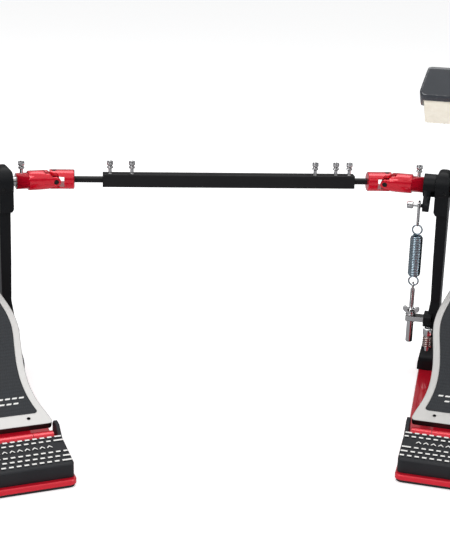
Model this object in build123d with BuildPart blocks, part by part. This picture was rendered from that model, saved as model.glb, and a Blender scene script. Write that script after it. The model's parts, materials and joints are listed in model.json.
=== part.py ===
from build123d import *
from collections import namedtuple
from math import asin, atan2, cos, degrees, radians, sin
import os

os.makedirs("parts", exist_ok=True)

# Double bass drum pedal: a slave pedal on the left, a primary pedal with two beaters on the
# right, and a telescopic shaft with two universal joints between them.
# World frame: x to the right along the linkage, y towards the drum, z up, floor at z = 0.
# Millimetres and degrees throughout.

# ---- where the two pedals stand ----
joint_spacing = 344.2  # between the centres of the two universal joints
slave_toe_out = 16.6
primary_toe_out = 20.4
slave_reach = 97.3  # along the axle, pedal centre to its universal joint
primary_reach = 104.7
origin_shift = (-5.281, 133.644)  # puts the origin under the middle of the whole object

# ---- rotating parts ----
axle_height = 196.6
axle_radius = 5.0
running_gap = 0.05
hub_offset = 33.2  # each beater hub's centre from the pedal's centre line
hub_width = 9.0
lean_back = 48.0  # beater rod at rest, from upright towards the player
rod_offset = 9.0  # rod centre line from the axle's centre, on the drum side
rod_radius = 4.0
head_top = 176.5  # along the rod from the axle to the head's top face
pitch = 6.35  # chain
sprocket_radius = 27.0  # pitch radius
roller_radius = 1.65
chain_start = 28.5  # angle above horizontal where the straight run begins, at rest
wrapped_links = 6
run_links = 12

# ---- frame, base and board ----
post_inner = 38.0
post_outer = 52.0
housing_radius = 18.5
mat_thickness = 2.5
base_top = 7.0
heel_front, heel_back = -283.0, -237.0
heel_half_width = 43.4
heel_top, heel_slope = 25.0, 6.8  # at the hinge side; degrees down towards the player
tread_height = 0.9
hinge_y, hinge_z, knuckle_radius = -229.0, 20.0, 6.0
hinge_pin_radius = 2.0
board_heel_y, board_heel_z = -222.0, 30.5
board_incline = 22.0
board_length = 266.0
board_thickness = 6.0
insert_depth = 1.2
border = 6.5

# ---- springs ----
rocker_pin_reach = 25.0
rocker_pin_angle = 43.0  # from straight down towards the player, at rest
spring_line = 67.0  # lateral distance of the spring from the pedal's centre line
anchor_y, anchor_z = -15.0, 91.0
wire = 1.3
eye_rod_radius = 2.2
loop_width = 12.0  # leaves the rocker's pin room to ride across the hook
coil_low, coil_high, coil_radius = 101.0, 147.0, 6.8

Pedal = namedtuple("Pedal", "name inner plane reach")


def pedal_standing(name, inner, toe_out, reach):
    """A pedal's own frame: x to the right, y towards the drum; inner is +1 if its joint is at +x."""
    turn = inner * toe_out
    centre_x = -inner * (joint_spacing / 2 + reach * cos(radians(toe_out)))
    centre_y = -reach * sin(radians(toe_out))
    plane = Plane(
        origin=(centre_x + origin_shift[0], centre_y + origin_shift[1], 0),
        x_dir=(cos(radians(turn)), sin(radians(turn)), 0),
        z_dir=(0, 0, 1),
    )
    return Pedal(name, inner, plane, reach)


slave = pedal_standing("slave", 1, slave_toe_out, slave_reach)
primary = pedal_standing("primary", -1, primary_toe_out, primary_reach)


def place(pedal, spot, across=(1, 0, 0), facing=(0, 0, 1)):
    """A working plane at a point of a pedal's own frame."""
    plane = pedal.plane
    spot, across, facing = (plane.from_local_coords(Vector(*v)) for v in (spot, across, facing))
    return Plane(origin=spot, x_dir=across - plane.origin, z_dir=facing - plane.origin)


def plane_point(pedal, x, y, z):
    return pedal.plane.from_local_coords(Vector(x, y, z))


def level(pedal, z):
    """Horizontal working plane: sketch x and y are the pedal's own."""
    return place(pedal, (0, 0, z))


def side(pedal, x, y=0, z=0):
    """Upright plane across the axle: sketch x runs towards the drum, sketch y up."""
    return place(pedal, (x, y, z), across=(0, 1, 0), facing=(1, 0, 0))


def front(pedal, y):
    """Upright plane facing the player: sketch x to the right, sketch y up."""
    return place(pedal, (0, y, 0), facing=(0, -1, 0))


def on_board(pedal, along, above):
    """Plane of the footboard's top face: sketch y runs up the board from its heel edge."""
    tilt = radians(board_incline)
    y = board_heel_y + along * cos(tilt) - above * sin(tilt)
    z = board_heel_z + along * sin(tilt) + above * cos(tilt)
    return place(pedal, (0, y, z), facing=(0, -sin(tilt), cos(tilt)))


def mirrored(right_half):
    """A symmetric outline from its right half, listed from the front to the back."""
    return right_half + [(-x, y) for x, y in reversed(right_half)]


# ---- base: rubber mat under a painted steel plate ----
def base_outline(pedal, inset):
    half = [(44.6, -288), (45, -185), (52.5, -38), (52.5, 44)]
    if pedal is primary:
        half += [(25, 58), (25, 88)]
    return mirrored([(x - inset, y + (inset if y < 0 else -inset)) for x, y in half])


def cut_base_holes(pedal):
    """Clearance for the floor spurs and, on the primary pedal, for the clamp's bolt."""
    with BuildSketch(level(pedal, -1)) as holes:
        with Locations((spur_x, spur_y), (-spur_x, spur_y)):
            Circle(spur_radius + 0.4)
        if pedal is primary:
            with Locations((0, clamp_bolt_y)):
                Circle(clamp_bolt_radius + 0.4)
    extrude(holes.sketch, amount=base_top + 2, mode=Mode.SUBTRACT)


def make_base(pedal):
    corner = 6
    with BuildPart() as base_mat:
        with BuildSketch(level(pedal, 0)) as outline:
            with BuildLine():
                Polyline(*base_outline(pedal, 1), close=True)
            make_face()
            fillet(outline.vertices(), corner)
        extrude(amount=mat_thickness)
        cut_base_holes(pedal)
    base_mat.part.label = f"{pedal.name}_base_mat"
    export_step(base_mat.part, f"parts/{base_mat.part.label}.step")

    with BuildPart() as base_plate:
        with BuildSketch(level(pedal, mat_thickness)) as outline:
            with BuildLine():
                Polyline(*base_outline(pedal, 0), close=True)
            make_face()
            fillet(outline.vertices(), corner)
        extrude(amount=base_top - mat_thickness)
        chamfer(base_plate.faces().sort_by(Axis.Z)[-1].edges(), 0.8)
        cut_base_holes(pedal)
    base_plate.part.label = f"{pedal.name}_base_plate"
    export_step(base_plate.part, f"parts/{base_plate.part.label}.step")


# ---- frame: one casting with two posts, bearing housings and feet ----
foot_front, foot_back = -38, 42
spur_x, spur_y, spur_radius = 46.5, -29.0, 3.0
bearing_radius, bearing_width = 11.0, 7.0
bracket_z = 56.0


def make_frame(pedal):
    top = axle_height + housing_radius - 2
    step_z = axle_height - 28
    with BuildPart() as frame:
        with BuildSketch(side(pedal, 0)) as profile:
            with BuildLine():
                Polyline(
                    (foot_front, base_top), (foot_front, 20), (-24, 34), (-13, 74),
                    (-12.5, axle_height), (12.5, axle_height), (14, 74), (26, 32),
                    (foot_back, 16), (foot_back, base_top), close=True,
                )
            make_face()
            fillet(profile.vertices().filter_by_position(Axis.Y, 20, 80), 9)
            with Locations((0, axle_height)):
                Circle(housing_radius)
            with Locations((0, (axle_height + step_z) / 2)):
                Rectangle(2 * housing_radius - 4, axle_height - step_z)
        extrude(amount=post_outer + 3, both=True)
        with BuildSketch(front(pedal, 0)) as arch:
            with BuildLine():
                Polyline(
                    *mirrored(
                        [
                            (54.2, base_top), (54.2, 14), (51.6, 32), (51, 46), (47.6, 76),
                            (48.6, 118), (49.2, step_z - 2), (post_outer, step_z + 3),
                            (post_outer, top), (post_inner, top), (post_inner, 52), (31, 26), (14, 17),
                        ]
                    ),
                    close=True,
                )
            make_face()
            fillet(arch.vertices().group_by(Axis.Y)[-1], 6)
        extrude(amount=80, both=True, mode=Mode.INTERSECT)
        if pedal is primary:
            # bosses with slots for the spring brackets
            for end in (-1, 1):
                with BuildSketch(side(pedal, end * 49)):
                    with Locations((anchor_y, bracket_z)):
                        RectangleRounded(20, 14, 5)
                extrude(amount=4, both=True)
                with BuildSketch(side(pedal, end * 52)):
                    with Locations((anchor_y, bracket_z)):
                        Rectangle(12.1, 5.1)
                extrude(amount=8, both=True, mode=Mode.SUBTRACT)
        # bearing seats open inwards, clearance holes outwards
        for end in (-1, 1):
            with BuildSketch(side(pedal, end * post_inner, 0, axle_height)):
                Circle(bearing_radius)
            extrude(amount=bearing_width, both=True, mode=Mode.SUBTRACT)
            with BuildSketch(side(pedal, end * post_outer, 0, axle_height)):
                Circle(axle_radius + 1.5)
            extrude(amount=30, both=True, mode=Mode.SUBTRACT)
        with BuildSketch(level(pedal, 0)):
            with Locations((spur_x, spur_y), (-spur_x, spur_y)):
                Circle(spur_radius + 0.2)
        extrude(amount=60, mode=Mode.SUBTRACT)
        if pedal is primary:
            # lugs for the hoop clamp's jaw
            for x in (-18.8, 18.8):
                with BuildSketch(side(pedal, x)):
                    with BuildLine():
                        Polyline((34, base_top), (54, base_top), (53, jaw_pivot_z), (48, 30.5),
                                 (43, 30), (34, 14), close=True)
                    make_face()
                extrude(amount=3.4, both=True)
            with BuildSketch(side(pedal, 0)):
                with Locations((jaw_pivot_y, jaw_pivot_z)):
                    Circle(2.5 + running_gap)
            extrude(amount=30, both=True, mode=Mode.SUBTRACT)
            with BuildSketch(level(pedal, base_top - 1)):
                with Locations((0, 46)):
                    Rectangle(30.8, 28)
            extrude(amount=40, mode=Mode.SUBTRACT)
        # set screw holes that lock the bearings
        with BuildSketch(front(pedal, -housing_radius - 1)):
            with Locations((42, axle_height - 4), (-42, axle_height - 4)):
                Circle(1.7)
        extrude(amount=-6, mode=Mode.SUBTRACT)
    frame.part.label = f"{pedal.name}_frame"
    export_step(frame.part, f"parts/{frame.part.label}.step")


def make_bearings(pedal):
    with BuildPart() as bearings:
        for end in (-1, 1):
            with BuildSketch(side(pedal, end * (post_inner + bearing_width / 2), 0, axle_height)):
                Circle(bearing_radius - 0.02)
                Circle(axle_radius + running_gap, mode=Mode.SUBTRACT)
            extrude(amount=bearing_width / 2 - 0.05, both=True)
            for face in (-1, 1):
                x = end * (post_inner + bearing_width / 2) + face * (bearing_width / 2 - 0.05)
                with BuildSketch(side(pedal, x, 0, axle_height)):
                    Circle(9.2)
                    Circle(6.8, mode=Mode.SUBTRACT)
                extrude(amount=0.6, both=True, mode=Mode.SUBTRACT)
    bearings.part.label = f"{pedal.name}_bearings"
    export_step(bearings.part, f"parts/{bearings.part.label}.step")


# ---- floor spurs: a pointed screw with a knurled head and a locking spring ----
def make_spurs(pedal):
    with BuildPart() as floor_spurs:
        for x in (-spur_x, spur_x):
            with BuildSketch(place(pedal, (x, spur_y, 0), across=(1, 0, 0), facing=(0, -1, 0))):
                with BuildLine():
                    Polyline(
                        (0, 7.6), (spur_radius, 10), (spur_radius, 45), (5.2, 45.6), (5.2, 50),
                        (4.4, 50.8), (0, 50.8), close=True,
                    )
                make_face()
            revolve(axis=Axis(plane_point(pedal, x, spur_y, 0), (0, 0, 1)))
    floor_spurs.part.label = f"{pedal.name}_floor_spurs"
    export_step(floor_spurs.part, f"parts/{floor_spurs.part.label}.step")


# ---- heel plate: a casting with raised grip bars and two ears for the hinge pin ----
tread_columns = 11
tread_pitch = 6.4
tread_bar, tread_gap, tread_width = 3.9, 2.5, 2.2
tread_rows = (-40.2, -33.3, -26.3, -8.7, -2.6)  # down the slope from the hinge side's edge
chevron_row = -17.5
ear_middle, ear_thickness = 41.85, 3.1


def raise_tread_row(y, shift):
    """Short bars at an even pitch, with a longer bar at each end that reaches the side."""
    middle = tread_pitch * (tread_columns - 1) / 2
    bars = [shift - middle + tread_pitch * n for n in range(tread_columns)]
    with Locations(*[(x, y) for x in bars]):
        Rectangle(tread_bar, tread_width)
    side_edge = heel_half_width - 1
    reach = tread_bar / 2 + tread_gap
    for start, end in ((-side_edge, bars[0] - reach), (bars[-1] + reach, side_edge)):
        with Locations(((start + end) / 2, y)):
            Rectangle(end - start, tread_width)


def make_heel_plate(pedal):
    depth = heel_back - heel_front
    middle = (heel_back + heel_front) / 2
    slope = radians(heel_slope)
    tread = place(pedal, (0, heel_back, heel_top), facing=(0, -sin(slope), cos(slope)))
    with BuildPart() as heel_plate:
        with BuildSketch(level(pedal, base_top)):
            with Locations((0, middle)):
                RectangleRounded(2 * heel_half_width, depth, 4)
        extrude(amount=heel_top - base_top)
        with BuildSketch(tread):
            Rectangle(3 * heel_half_width, 3 * depth)
        extrude(amount=20, mode=Mode.SUBTRACT)
        chamfer(heel_plate.faces().sort_by(Axis(plane_point(pedal, 0, 0, 0), tread.z_dir))[-1].edges(), 1)
        for end in (-1, 1):
            with BuildSketch(side(pedal, end * ear_middle)):
                with BuildLine():
                    Polyline((-240, base_top), (-217, base_top), (-217, 28), (-221, 32), (-230, 32),
                             (-240, 24), close=True)
                make_face()
            extrude(amount=ear_thickness / 2, both=True)
        with BuildSketch(side(pedal, 0)):
            with Locations((hinge_y, hinge_z)):
                Circle(hinge_pin_radius + 0.02)
        extrude(amount=50, both=True, mode=Mode.SUBTRACT)
        with BuildSketch(tread.offset(-0.2)):
            for row, y in enumerate(tread_rows):
                raise_tread_row(y, (row % 3 - 1) * tread_pitch / 3)
            # a plain row of chevrons fills the broad band
            with GridLocations(tread_pitch, 1, tread_columns - 1, 1):
                with Locations((0, chevron_row)):
                    Polygon((-2.2, -2), (0, 0.6), (2.2, -2), (2.2, -0.2), (0, 2.4), (-2.2, -0.2),
                            align=None)
        extrude(amount=tread_height + 0.2)
    heel_plate.part.label = f"{pedal.name}_heel_plate"
    export_step(heel_plate.part, f"parts/{heel_plate.part.label}.step")


# ---- heel hinge: two fixed knuckles, a moving one and the pin ----
fixed_knuckle = (20.2, 38.0)
moving_knuckle = 19.8


def make_hinge(pedal):
    inner, outer = fixed_knuckle
    with BuildPart() as hinge_base:
        for end in (-1, 1):
            with BuildSketch(side(pedal, end * (inner + outer) / 2)):
                with Locations((hinge_y, hinge_z)):
                    Circle(knuckle_radius)
                with BuildLine():
                    Polyline((-235, base_top), (-223, base_top), (-223, hinge_z), (-235, hinge_z),
                             close=True)
                make_face()
                with Locations((hinge_y, hinge_z)):
                    Circle(hinge_pin_radius + 0.02, mode=Mode.SUBTRACT)
            extrude(amount=(outer - inner) / 2, both=True)
        # the pin is a piece of its own, pressed into the fixed knuckles
        with BuildSketch(side(pedal, 0)):
            with Locations((hinge_y, hinge_z)):
                Circle(hinge_pin_radius)
        extrude(amount=42.4, both=True)
    hinge_base.part.label = f"{pedal.name}_hinge_base"
    export_step(hinge_base.part, f"parts/{hinge_base.part.label}.step")

    with BuildPart() as hinge_leaf:
        with BuildSketch(side(pedal, 0)):
            with Locations((hinge_y, hinge_z)):
                Circle(knuckle_radius)
        extrude(amount=moving_knuckle, both=True)
        with BuildSketch(on_board(pedal, 0, -board_thickness - 0.02)):
            with Locations((0, 16)):
                Rectangle(2 * moving_knuckle, 52)
        extrude(amount=-3)
        with BuildSketch(side(pedal, 0)):
            with Locations((hinge_y, hinge_z)):
                Circle(hinge_pin_radius + running_gap)
        extrude(amount=50, both=True, mode=Mode.SUBTRACT)
    hinge_leaf.part.label = f"{pedal.name}_hinge_leaf"
    export_step(hinge_leaf.part, f"parts/{hinge_leaf.part.label}.step")


# ---- footboard: a waisted casting with a recessed grip insert and a toe lug ----
board_half_widths = [(39.5, 3), (33.8, 23), (29.2, 60), (33.3, 106), (36.0, 135), (30.4, 172),
                     (20, 214), (15.5, 246)]
lug_along = board_length - 8
toe_pin_above = 8.5
lug_gap, lug_cheek = 8.0, 3.0
chain_pin_radius = 1.5


def board_outline(margin, heel, toe):
    """Right and left edges are smooth curves; heel and toe edges are straight."""
    right = [(x - margin, y) for x, y in board_half_widths if heel + 2 < y < toe - 2]
    heel_half = 39.9 - margin if heel < 1 else 36.6 - margin
    right = [(heel_half, heel)] + right + [(15.2 - margin, toe)]
    left = [(-x, y) for x, y in reversed(right)]
    Spline(*right)
    Line(right[-1], left[0])
    Spline(*left)
    Line(left[-1], right[0])


def make_board(pedal):
    with BuildPart() as footboard:
        with BuildSketch(on_board(pedal, 0, -board_thickness)) as outline:
            with BuildLine():
                board_outline(0, 0, board_length)
            make_face()
            fillet(outline.vertices().group_by(Axis.Y)[0], 3)
            fillet(outline.vertices().group_by(Axis.Y)[-1], 5)
        extrude(amount=board_thickness)
        with BuildSketch(on_board(pedal, 0, -insert_depth)) as recess:
            with BuildLine():
                board_outline(border, 14, board_length - 22)
            make_face()
            fillet(recess.vertices().group_by(Axis.Y)[0], 3)
        extrude(amount=insert_depth + 1, mode=Mode.SUBTRACT)
        # two stiffening ribs underneath, clear of the hinge leaf
        with BuildSketch(on_board(pedal, 0, -board_thickness)):
            with Locations((-11, 145), (11, 145)):
                Rectangle(3, 190)
        extrude(amount=-5)
        # toe lug: two cheeks that hold the chain pin
        for end in (-1, 1):
            with BuildSketch(place_lug(pedal, end * (lug_gap + lug_cheek / 2))):
                with BuildLine():
                    Polyline((-9, -1), (9, -1), (4.5, toe_pin_above), (-4.5, toe_pin_above), close=True)
                make_face()
                with Locations((0, toe_pin_above)):
                    Circle(4.5)
                    Circle(chain_pin_radius + running_gap, mode=Mode.SUBTRACT)
            extrude(amount=lug_cheek / 2, both=True)
        # small hole near the heel edge, right and left
        with BuildSketch(on_board(pedal, 0, 1)):
            with Locations((20, 8.5), (-20, 8.5)):
                Circle(1.6)
        extrude(amount=-4, mode=Mode.SUBTRACT)
    footboard.part.label = f"{pedal.name}_footboard"
    export_step(footboard.part, f"parts/{footboard.part.label}.step")

    with BuildPart() as grip_insert:
        with BuildSketch(on_board(pedal, 0, -insert_depth + 0.02)) as outline:
            with BuildLine():
                board_outline(border + 0.15, 14.2, board_length - 22.2)
            make_face()
            fillet(outline.vertices().group_by(Axis.Y)[0], 2.8)
        extrude(amount=0.9)
    grip_insert.part.label = f"{pedal.name}_grip_insert"
    export_step(grip_insert.part, f"parts/{grip_insert.part.label}.step")


def place_lug(pedal, x):
    """Upright plane whose sketch x runs up the board, at the chain pin's place along it."""
    tilt = radians(board_incline)
    y = board_heel_y + lug_along * cos(tilt)
    z = board_heel_z + lug_along * sin(tilt)
    return place(pedal, (x, y, z), across=(0, cos(tilt), sin(tilt)), facing=(1, 0, 0))


def toe_pin():
    """The chain pin's centre in the pedal's own y and z."""
    tilt = radians(board_incline)
    return (
        board_heel_y + lug_along * cos(tilt) - toe_pin_above * sin(tilt),
        board_heel_z + lug_along * sin(tilt) + toe_pin_above * cos(tilt),
    )


# ---- chain: a straight run pinned to the toe lug, and the part wrapped on the sprocket ----
plate_height = 5.6
outer_plates = (-6.4, 0.0, 6.4)
inner_plates = (-5.1, -1.25, 1.25, 5.1)
plate_thickness = 0.8


def link_plates(pedal, joints, plates):
    """One plate for each pair of neighbouring chain pins, at each lateral place."""
    for x in plates:
        with BuildSketch(side(pedal, x)) as plate:
            for (y0, z0), (y1, z1) in joints:
                with Locations((y0, z0), (y1, z1)):
                    Circle(plate_height / 2)
                slope = degrees(atan2(z1 - z0, y1 - y0))
                with Locations(Location(((y0 + y1) / 2, (z0 + z1) / 2), slope)):
                    Rectangle(pitch, plate_height * 0.72)
        extrude(plate.sketch, amount=plate_thickness / 2, both=True)


def chain_pins(pedal, pins, half_length):
    with BuildSketch(side(pedal, 0)) as rivets:
        with Locations(*pins):
            Circle(1.1)
    extrude(rivets.sketch, amount=half_length, both=True)
    for x in (-3.15, 3.15):
        with BuildSketch(side(pedal, x)) as rollers:
            with Locations(*pins):
                Circle(roller_radius)
        extrude(rollers.sketch, amount=1.5, both=True)


def wrapped_pin(count):
    """Centre of the chain pin this many links up the sprocket from the straight run."""
    step = degrees(2 * asin(pitch / 2 / sprocket_radius))
    angle = radians(chain_start + count * step)
    return (sprocket_radius * cos(angle), axle_height + sprocket_radius * sin(angle))


def make_chain(pedal):
    toe, top = toe_pin(), wrapped_pin(0)
    lean = ((top[0] - toe[0]) / (run_links * pitch), (top[1] - toe[1]) / (run_links * pitch))
    pins = [(toe[0] + lean[0] * pitch * n, toe[1] + lean[1] * pitch * n) for n in range(run_links + 1)]
    with BuildPart() as chain_run:
        chain_pins(pedal, pins[:-1], 6.9)
        chain_pins(pedal, pins[-1:], 5.3)
        link_plates(pedal, [(pins[n], pins[n + 1]) for n in range(0, run_links, 2)], outer_plates)
        link_plates(pedal, [(pins[n], pins[n + 1]) for n in range(1, run_links, 2)], inner_plates)
        with BuildSketch(side(pedal, 0)):
            with Locations(pins[0]):
                Circle(chain_pin_radius)
        extrude(amount=lug_gap + lug_cheek + 0.6, both=True)
    chain_run.part.label = f"{pedal.name}_chain_run"
    export_step(chain_run.part, f"parts/{chain_run.part.label}.step")

    pins = [wrapped_pin(n) for n in range(wrapped_links + 1)]
    with BuildPart() as chain_wrap:
        chain_pins(pedal, pins[1:], 6.9)
        # the first link reaches past the straight run's top pin and has no middle plate
        link_plates(pedal, [(pins[0], pins[1])], (outer_plates[0], outer_plates[-1]))
        link_plates(pedal, [(pins[n], pins[n + 1]) for n in range(2, wrapped_links, 2)], outer_plates)
        link_plates(pedal, [(pins[n], pins[n + 1]) for n in range(1, wrapped_links, 2)], inner_plates)
    chain_wrap.part.label = f"{pedal.name}_chain_wrap"
    export_step(chain_wrap.part, f"parts/{chain_wrap.part.label}.step")


def make_sprocket(pedal):
    step = degrees(2 * asin(pitch / 2 / sprocket_radius))
    rim = sprocket_radius - roller_radius - 0.3
    core = 19.0
    first, last = chain_start + step * 0.75, chain_start + step * (wrapped_links + 0.6)
    with BuildPart() as sprocket:
        for x in (-3.15, 3.15):
            with BuildSketch(side(pedal, x, 0, axle_height)):
                Circle(core)
                with BuildLine():
                    a, b = radians(first), radians(last)
                    start, end = (rim * cos(a), rim * sin(a)), (rim * cos(b), rim * sin(b))
                    Line((0, 0), start)
                    ThreePointArc(start, (rim * cos((a + b) / 2), rim * sin((a + b) / 2)), end)
                    Line(end, (0, 0))
                make_face()
                for n in range(1, wrapped_links):
                    angle = chain_start + step * (n + 0.5)
                    with Locations(Location((0, 0), angle)):
                        with Locations((rim, 0)):
                            Rectangle(4.2, 1.5)
            extrude(amount=1.2, both=True)
        with BuildSketch(side(pedal, 0, 0, axle_height)):
            Circle(13)
        extrude(amount=9, both=True)
        with BuildSketch(side(pedal, 0, 0, axle_height)):
            Circle(axle_radius + 0.02)
        extrude(amount=12, both=True, mode=Mode.SUBTRACT)
    sprocket.part.label = f"{pedal.name}_sprocket"
    export_step(sprocket.part, f"parts/{sprocket.part.label}.step")


# ---- axles ----
nose_radius, nose_length = 3.4, 13.0
axle_split = 24.0  # inner end of the second beater's axle from the pedal's centre line


def rod_through(pedal, sections):
    """A turned shaft on the axle line: each section is its start, its end and its radius."""
    for start, end, radius in sections:
        with BuildSketch(side(pedal, (start + end) / 2, 0, axle_height)) as section:
            Circle(radius)
        extrude(section.sketch, amount=abs(end - start) / 2, both=True)


def make_axles():
    with BuildPart() as slave_axle:
        rod_through(slave, [(-58, slave.reach - 18, axle_radius)])
    slave_axle.part.label = "slave_axle"
    export_step(slave_axle.part, "parts/slave_axle.step")

    with BuildPart() as main_axle:
        rod_through(primary, [(66.5, -axle_split + 0.6, axle_radius),
                              (0, -axle_split - nose_length, nose_radius)])
    main_axle.part.label = "main_axle"
    export_step(main_axle.part, "parts/main_axle.step")

    with BuildPart() as second_axle:
        rod_through(primary, [(-axle_split, -primary.reach + 18, axle_radius)])
        with BuildSketch(side(primary, -axle_split, 0, axle_height)):
            Circle(nose_radius + running_gap)
        extrude(amount=nose_length + 1, both=True, mode=Mode.SUBTRACT)
    second_axle.part.label = "second_axle"
    export_step(second_axle.part, "parts/second_axle.step")


# ---- beaters: hub, rod, moulded head and felt ----
def beater_plane(x, along, offset=0.0):
    """Plane across the axle in a beater's own frame: sketch x up the rod, sketch y to the drum."""
    lean = radians(lean_back)
    up_rod, to_drum = (0, -sin(lean), cos(lean)), (0, cos(lean), sin(lean))
    y = up_rod[1] * along + to_drum[1] * offset
    z = axle_height + up_rod[2] * along + to_drum[2] * offset
    return place(primary, (x, y, z), across=up_rod, facing=(-1, 0, 0))


def rod_section(x, along):
    """Plane across a beater's rod, facing up it: sketch x runs along the axle."""
    lean = radians(lean_back)
    up_rod, to_drum = (0, -sin(lean), cos(lean)), (0, cos(lean), sin(lean))
    y = up_rod[1] * along + to_drum[1] * rod_offset
    z = axle_height + up_rod[2] * along + to_drum[2] * rod_offset
    return place(primary, (x, y, z), across=(1, 0, 0), facing=up_rod)


head_thickness, head_height = 34.0, 46.0
head_drum_half, head_felt_half = 26.1, 31.9  # the head widens from the drum side to the felt side
felt_half = 27.0


def make_beater(name, x):
    with BuildPart() as hub:
        with BuildSketch(beater_plane(x, 0)):
            Circle(11)
            with Locations((0, rod_offset)):
                RectangleRounded(22, 15, 3)
        extrude(amount=hub_width / 2, both=True)
        with BuildSketch(beater_plane(x, 0)):
            Circle(axle_radius + 0.02)
        extrude(amount=20, both=True, mode=Mode.SUBTRACT)
        with BuildSketch(rod_section(x, 0)):
            Circle(rod_radius + running_gap)
        extrude(amount=30, both=True, mode=Mode.SUBTRACT)
    hub.part.label = f"{name}_beater_hub"
    export_step(hub.part, f"parts/{hub.part.label}.step")

    socket_end = head_top - 24
    with BuildPart() as rod:
        with BuildSketch(rod_section(x, -24)):
            Circle(rod_radius)
        extrude(amount=socket_end + 23.5)
        chamfer(rod.edges().filter_by(GeomType.CIRCLE).sort_by(Axis.Z)[0], 1)
    rod.part.label = f"{name}_beater_rod"
    export_step(rod.part, f"parts/{rod.part.label}.step")

    drum_face = head_thickness / 2
    felt_back, felt_low = -3.0, head_top - head_height
    with BuildPart() as head:
        with BuildSketch(beater_plane(x, 0, rod_offset)) as profile:
            with BuildLine():
                Polyline(
                    (felt_low, drum_face), (head_top, drum_face), (head_top, -drum_face),
                    (head_top - 9, -drum_face), (head_top - 11, felt_back), (felt_low, felt_back),
                    close=True,
                )
            make_face()
            fillet(profile.vertices().filter_by_position(Axis.Y, drum_face - 1, drum_face + 1), 3.5)
        extrude(amount=head_felt_half, both=True)
        for end in (-1, 1):
            cheek = head_felt_half - felt_half - 0.3
            with BuildSketch(beater_plane(x + end * (head_felt_half - cheek / 2), 0, rod_offset)):
                with BuildLine():
                    Polyline(
                        (head_top - 8, -drum_face), (head_top - 24, -drum_face + 5),
                        (felt_low + 6, felt_back + 0.5), (head_top - 8, felt_back + 0.5), close=True,
                    )
                make_face()
            extrude(amount=cheek / 2, both=True)
        with BuildSketch(rod_section(x, felt_low - 5)) as plan:
            Polygon((-head_drum_half, drum_face), (head_drum_half, drum_face),
                    (head_felt_half, -drum_face), (-head_felt_half, -drum_face), align=None)
            fillet(plan.vertices().group_by(Axis.Y)[-1], 4)
            fillet(plan.vertices().group_by(Axis.Y)[0], 6)
        extrude(amount=head_height + 20, mode=Mode.INTERSECT)
        with BuildSketch(rod_section(x, felt_low - 5)):
            Circle(rod_radius + running_gap)
        extrude(amount=socket_end - felt_low + 5, mode=Mode.SUBTRACT)
    head.part.label = f"{name}_beater_head"
    export_step(head.part, f"parts/{head.part.label}.step")

    with BuildPart() as felt:
        with BuildSketch(beater_plane(x, 0, rod_offset)) as profile:
            with BuildLine():
                Polyline(
                    (felt_low - 0.5, felt_back - 3), (head_top - 11.2, felt_back - 0.05),
                    (head_top - 9.2, -drum_face + 0.6), (felt_low - 0.5, -drum_face + 0.6), close=True,
                )
            make_face()
        extrude(amount=felt_half, both=True)
        with BuildSketch(rod_section(x, felt_low - 5)):
            Circle(rod_radius + 0.4)
        extrude(amount=head_height, mode=Mode.SUBTRACT)
    felt.part.label = f"{name}_beater_felt"
    export_step(felt.part, f"parts/{felt.part.label}.step")


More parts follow.
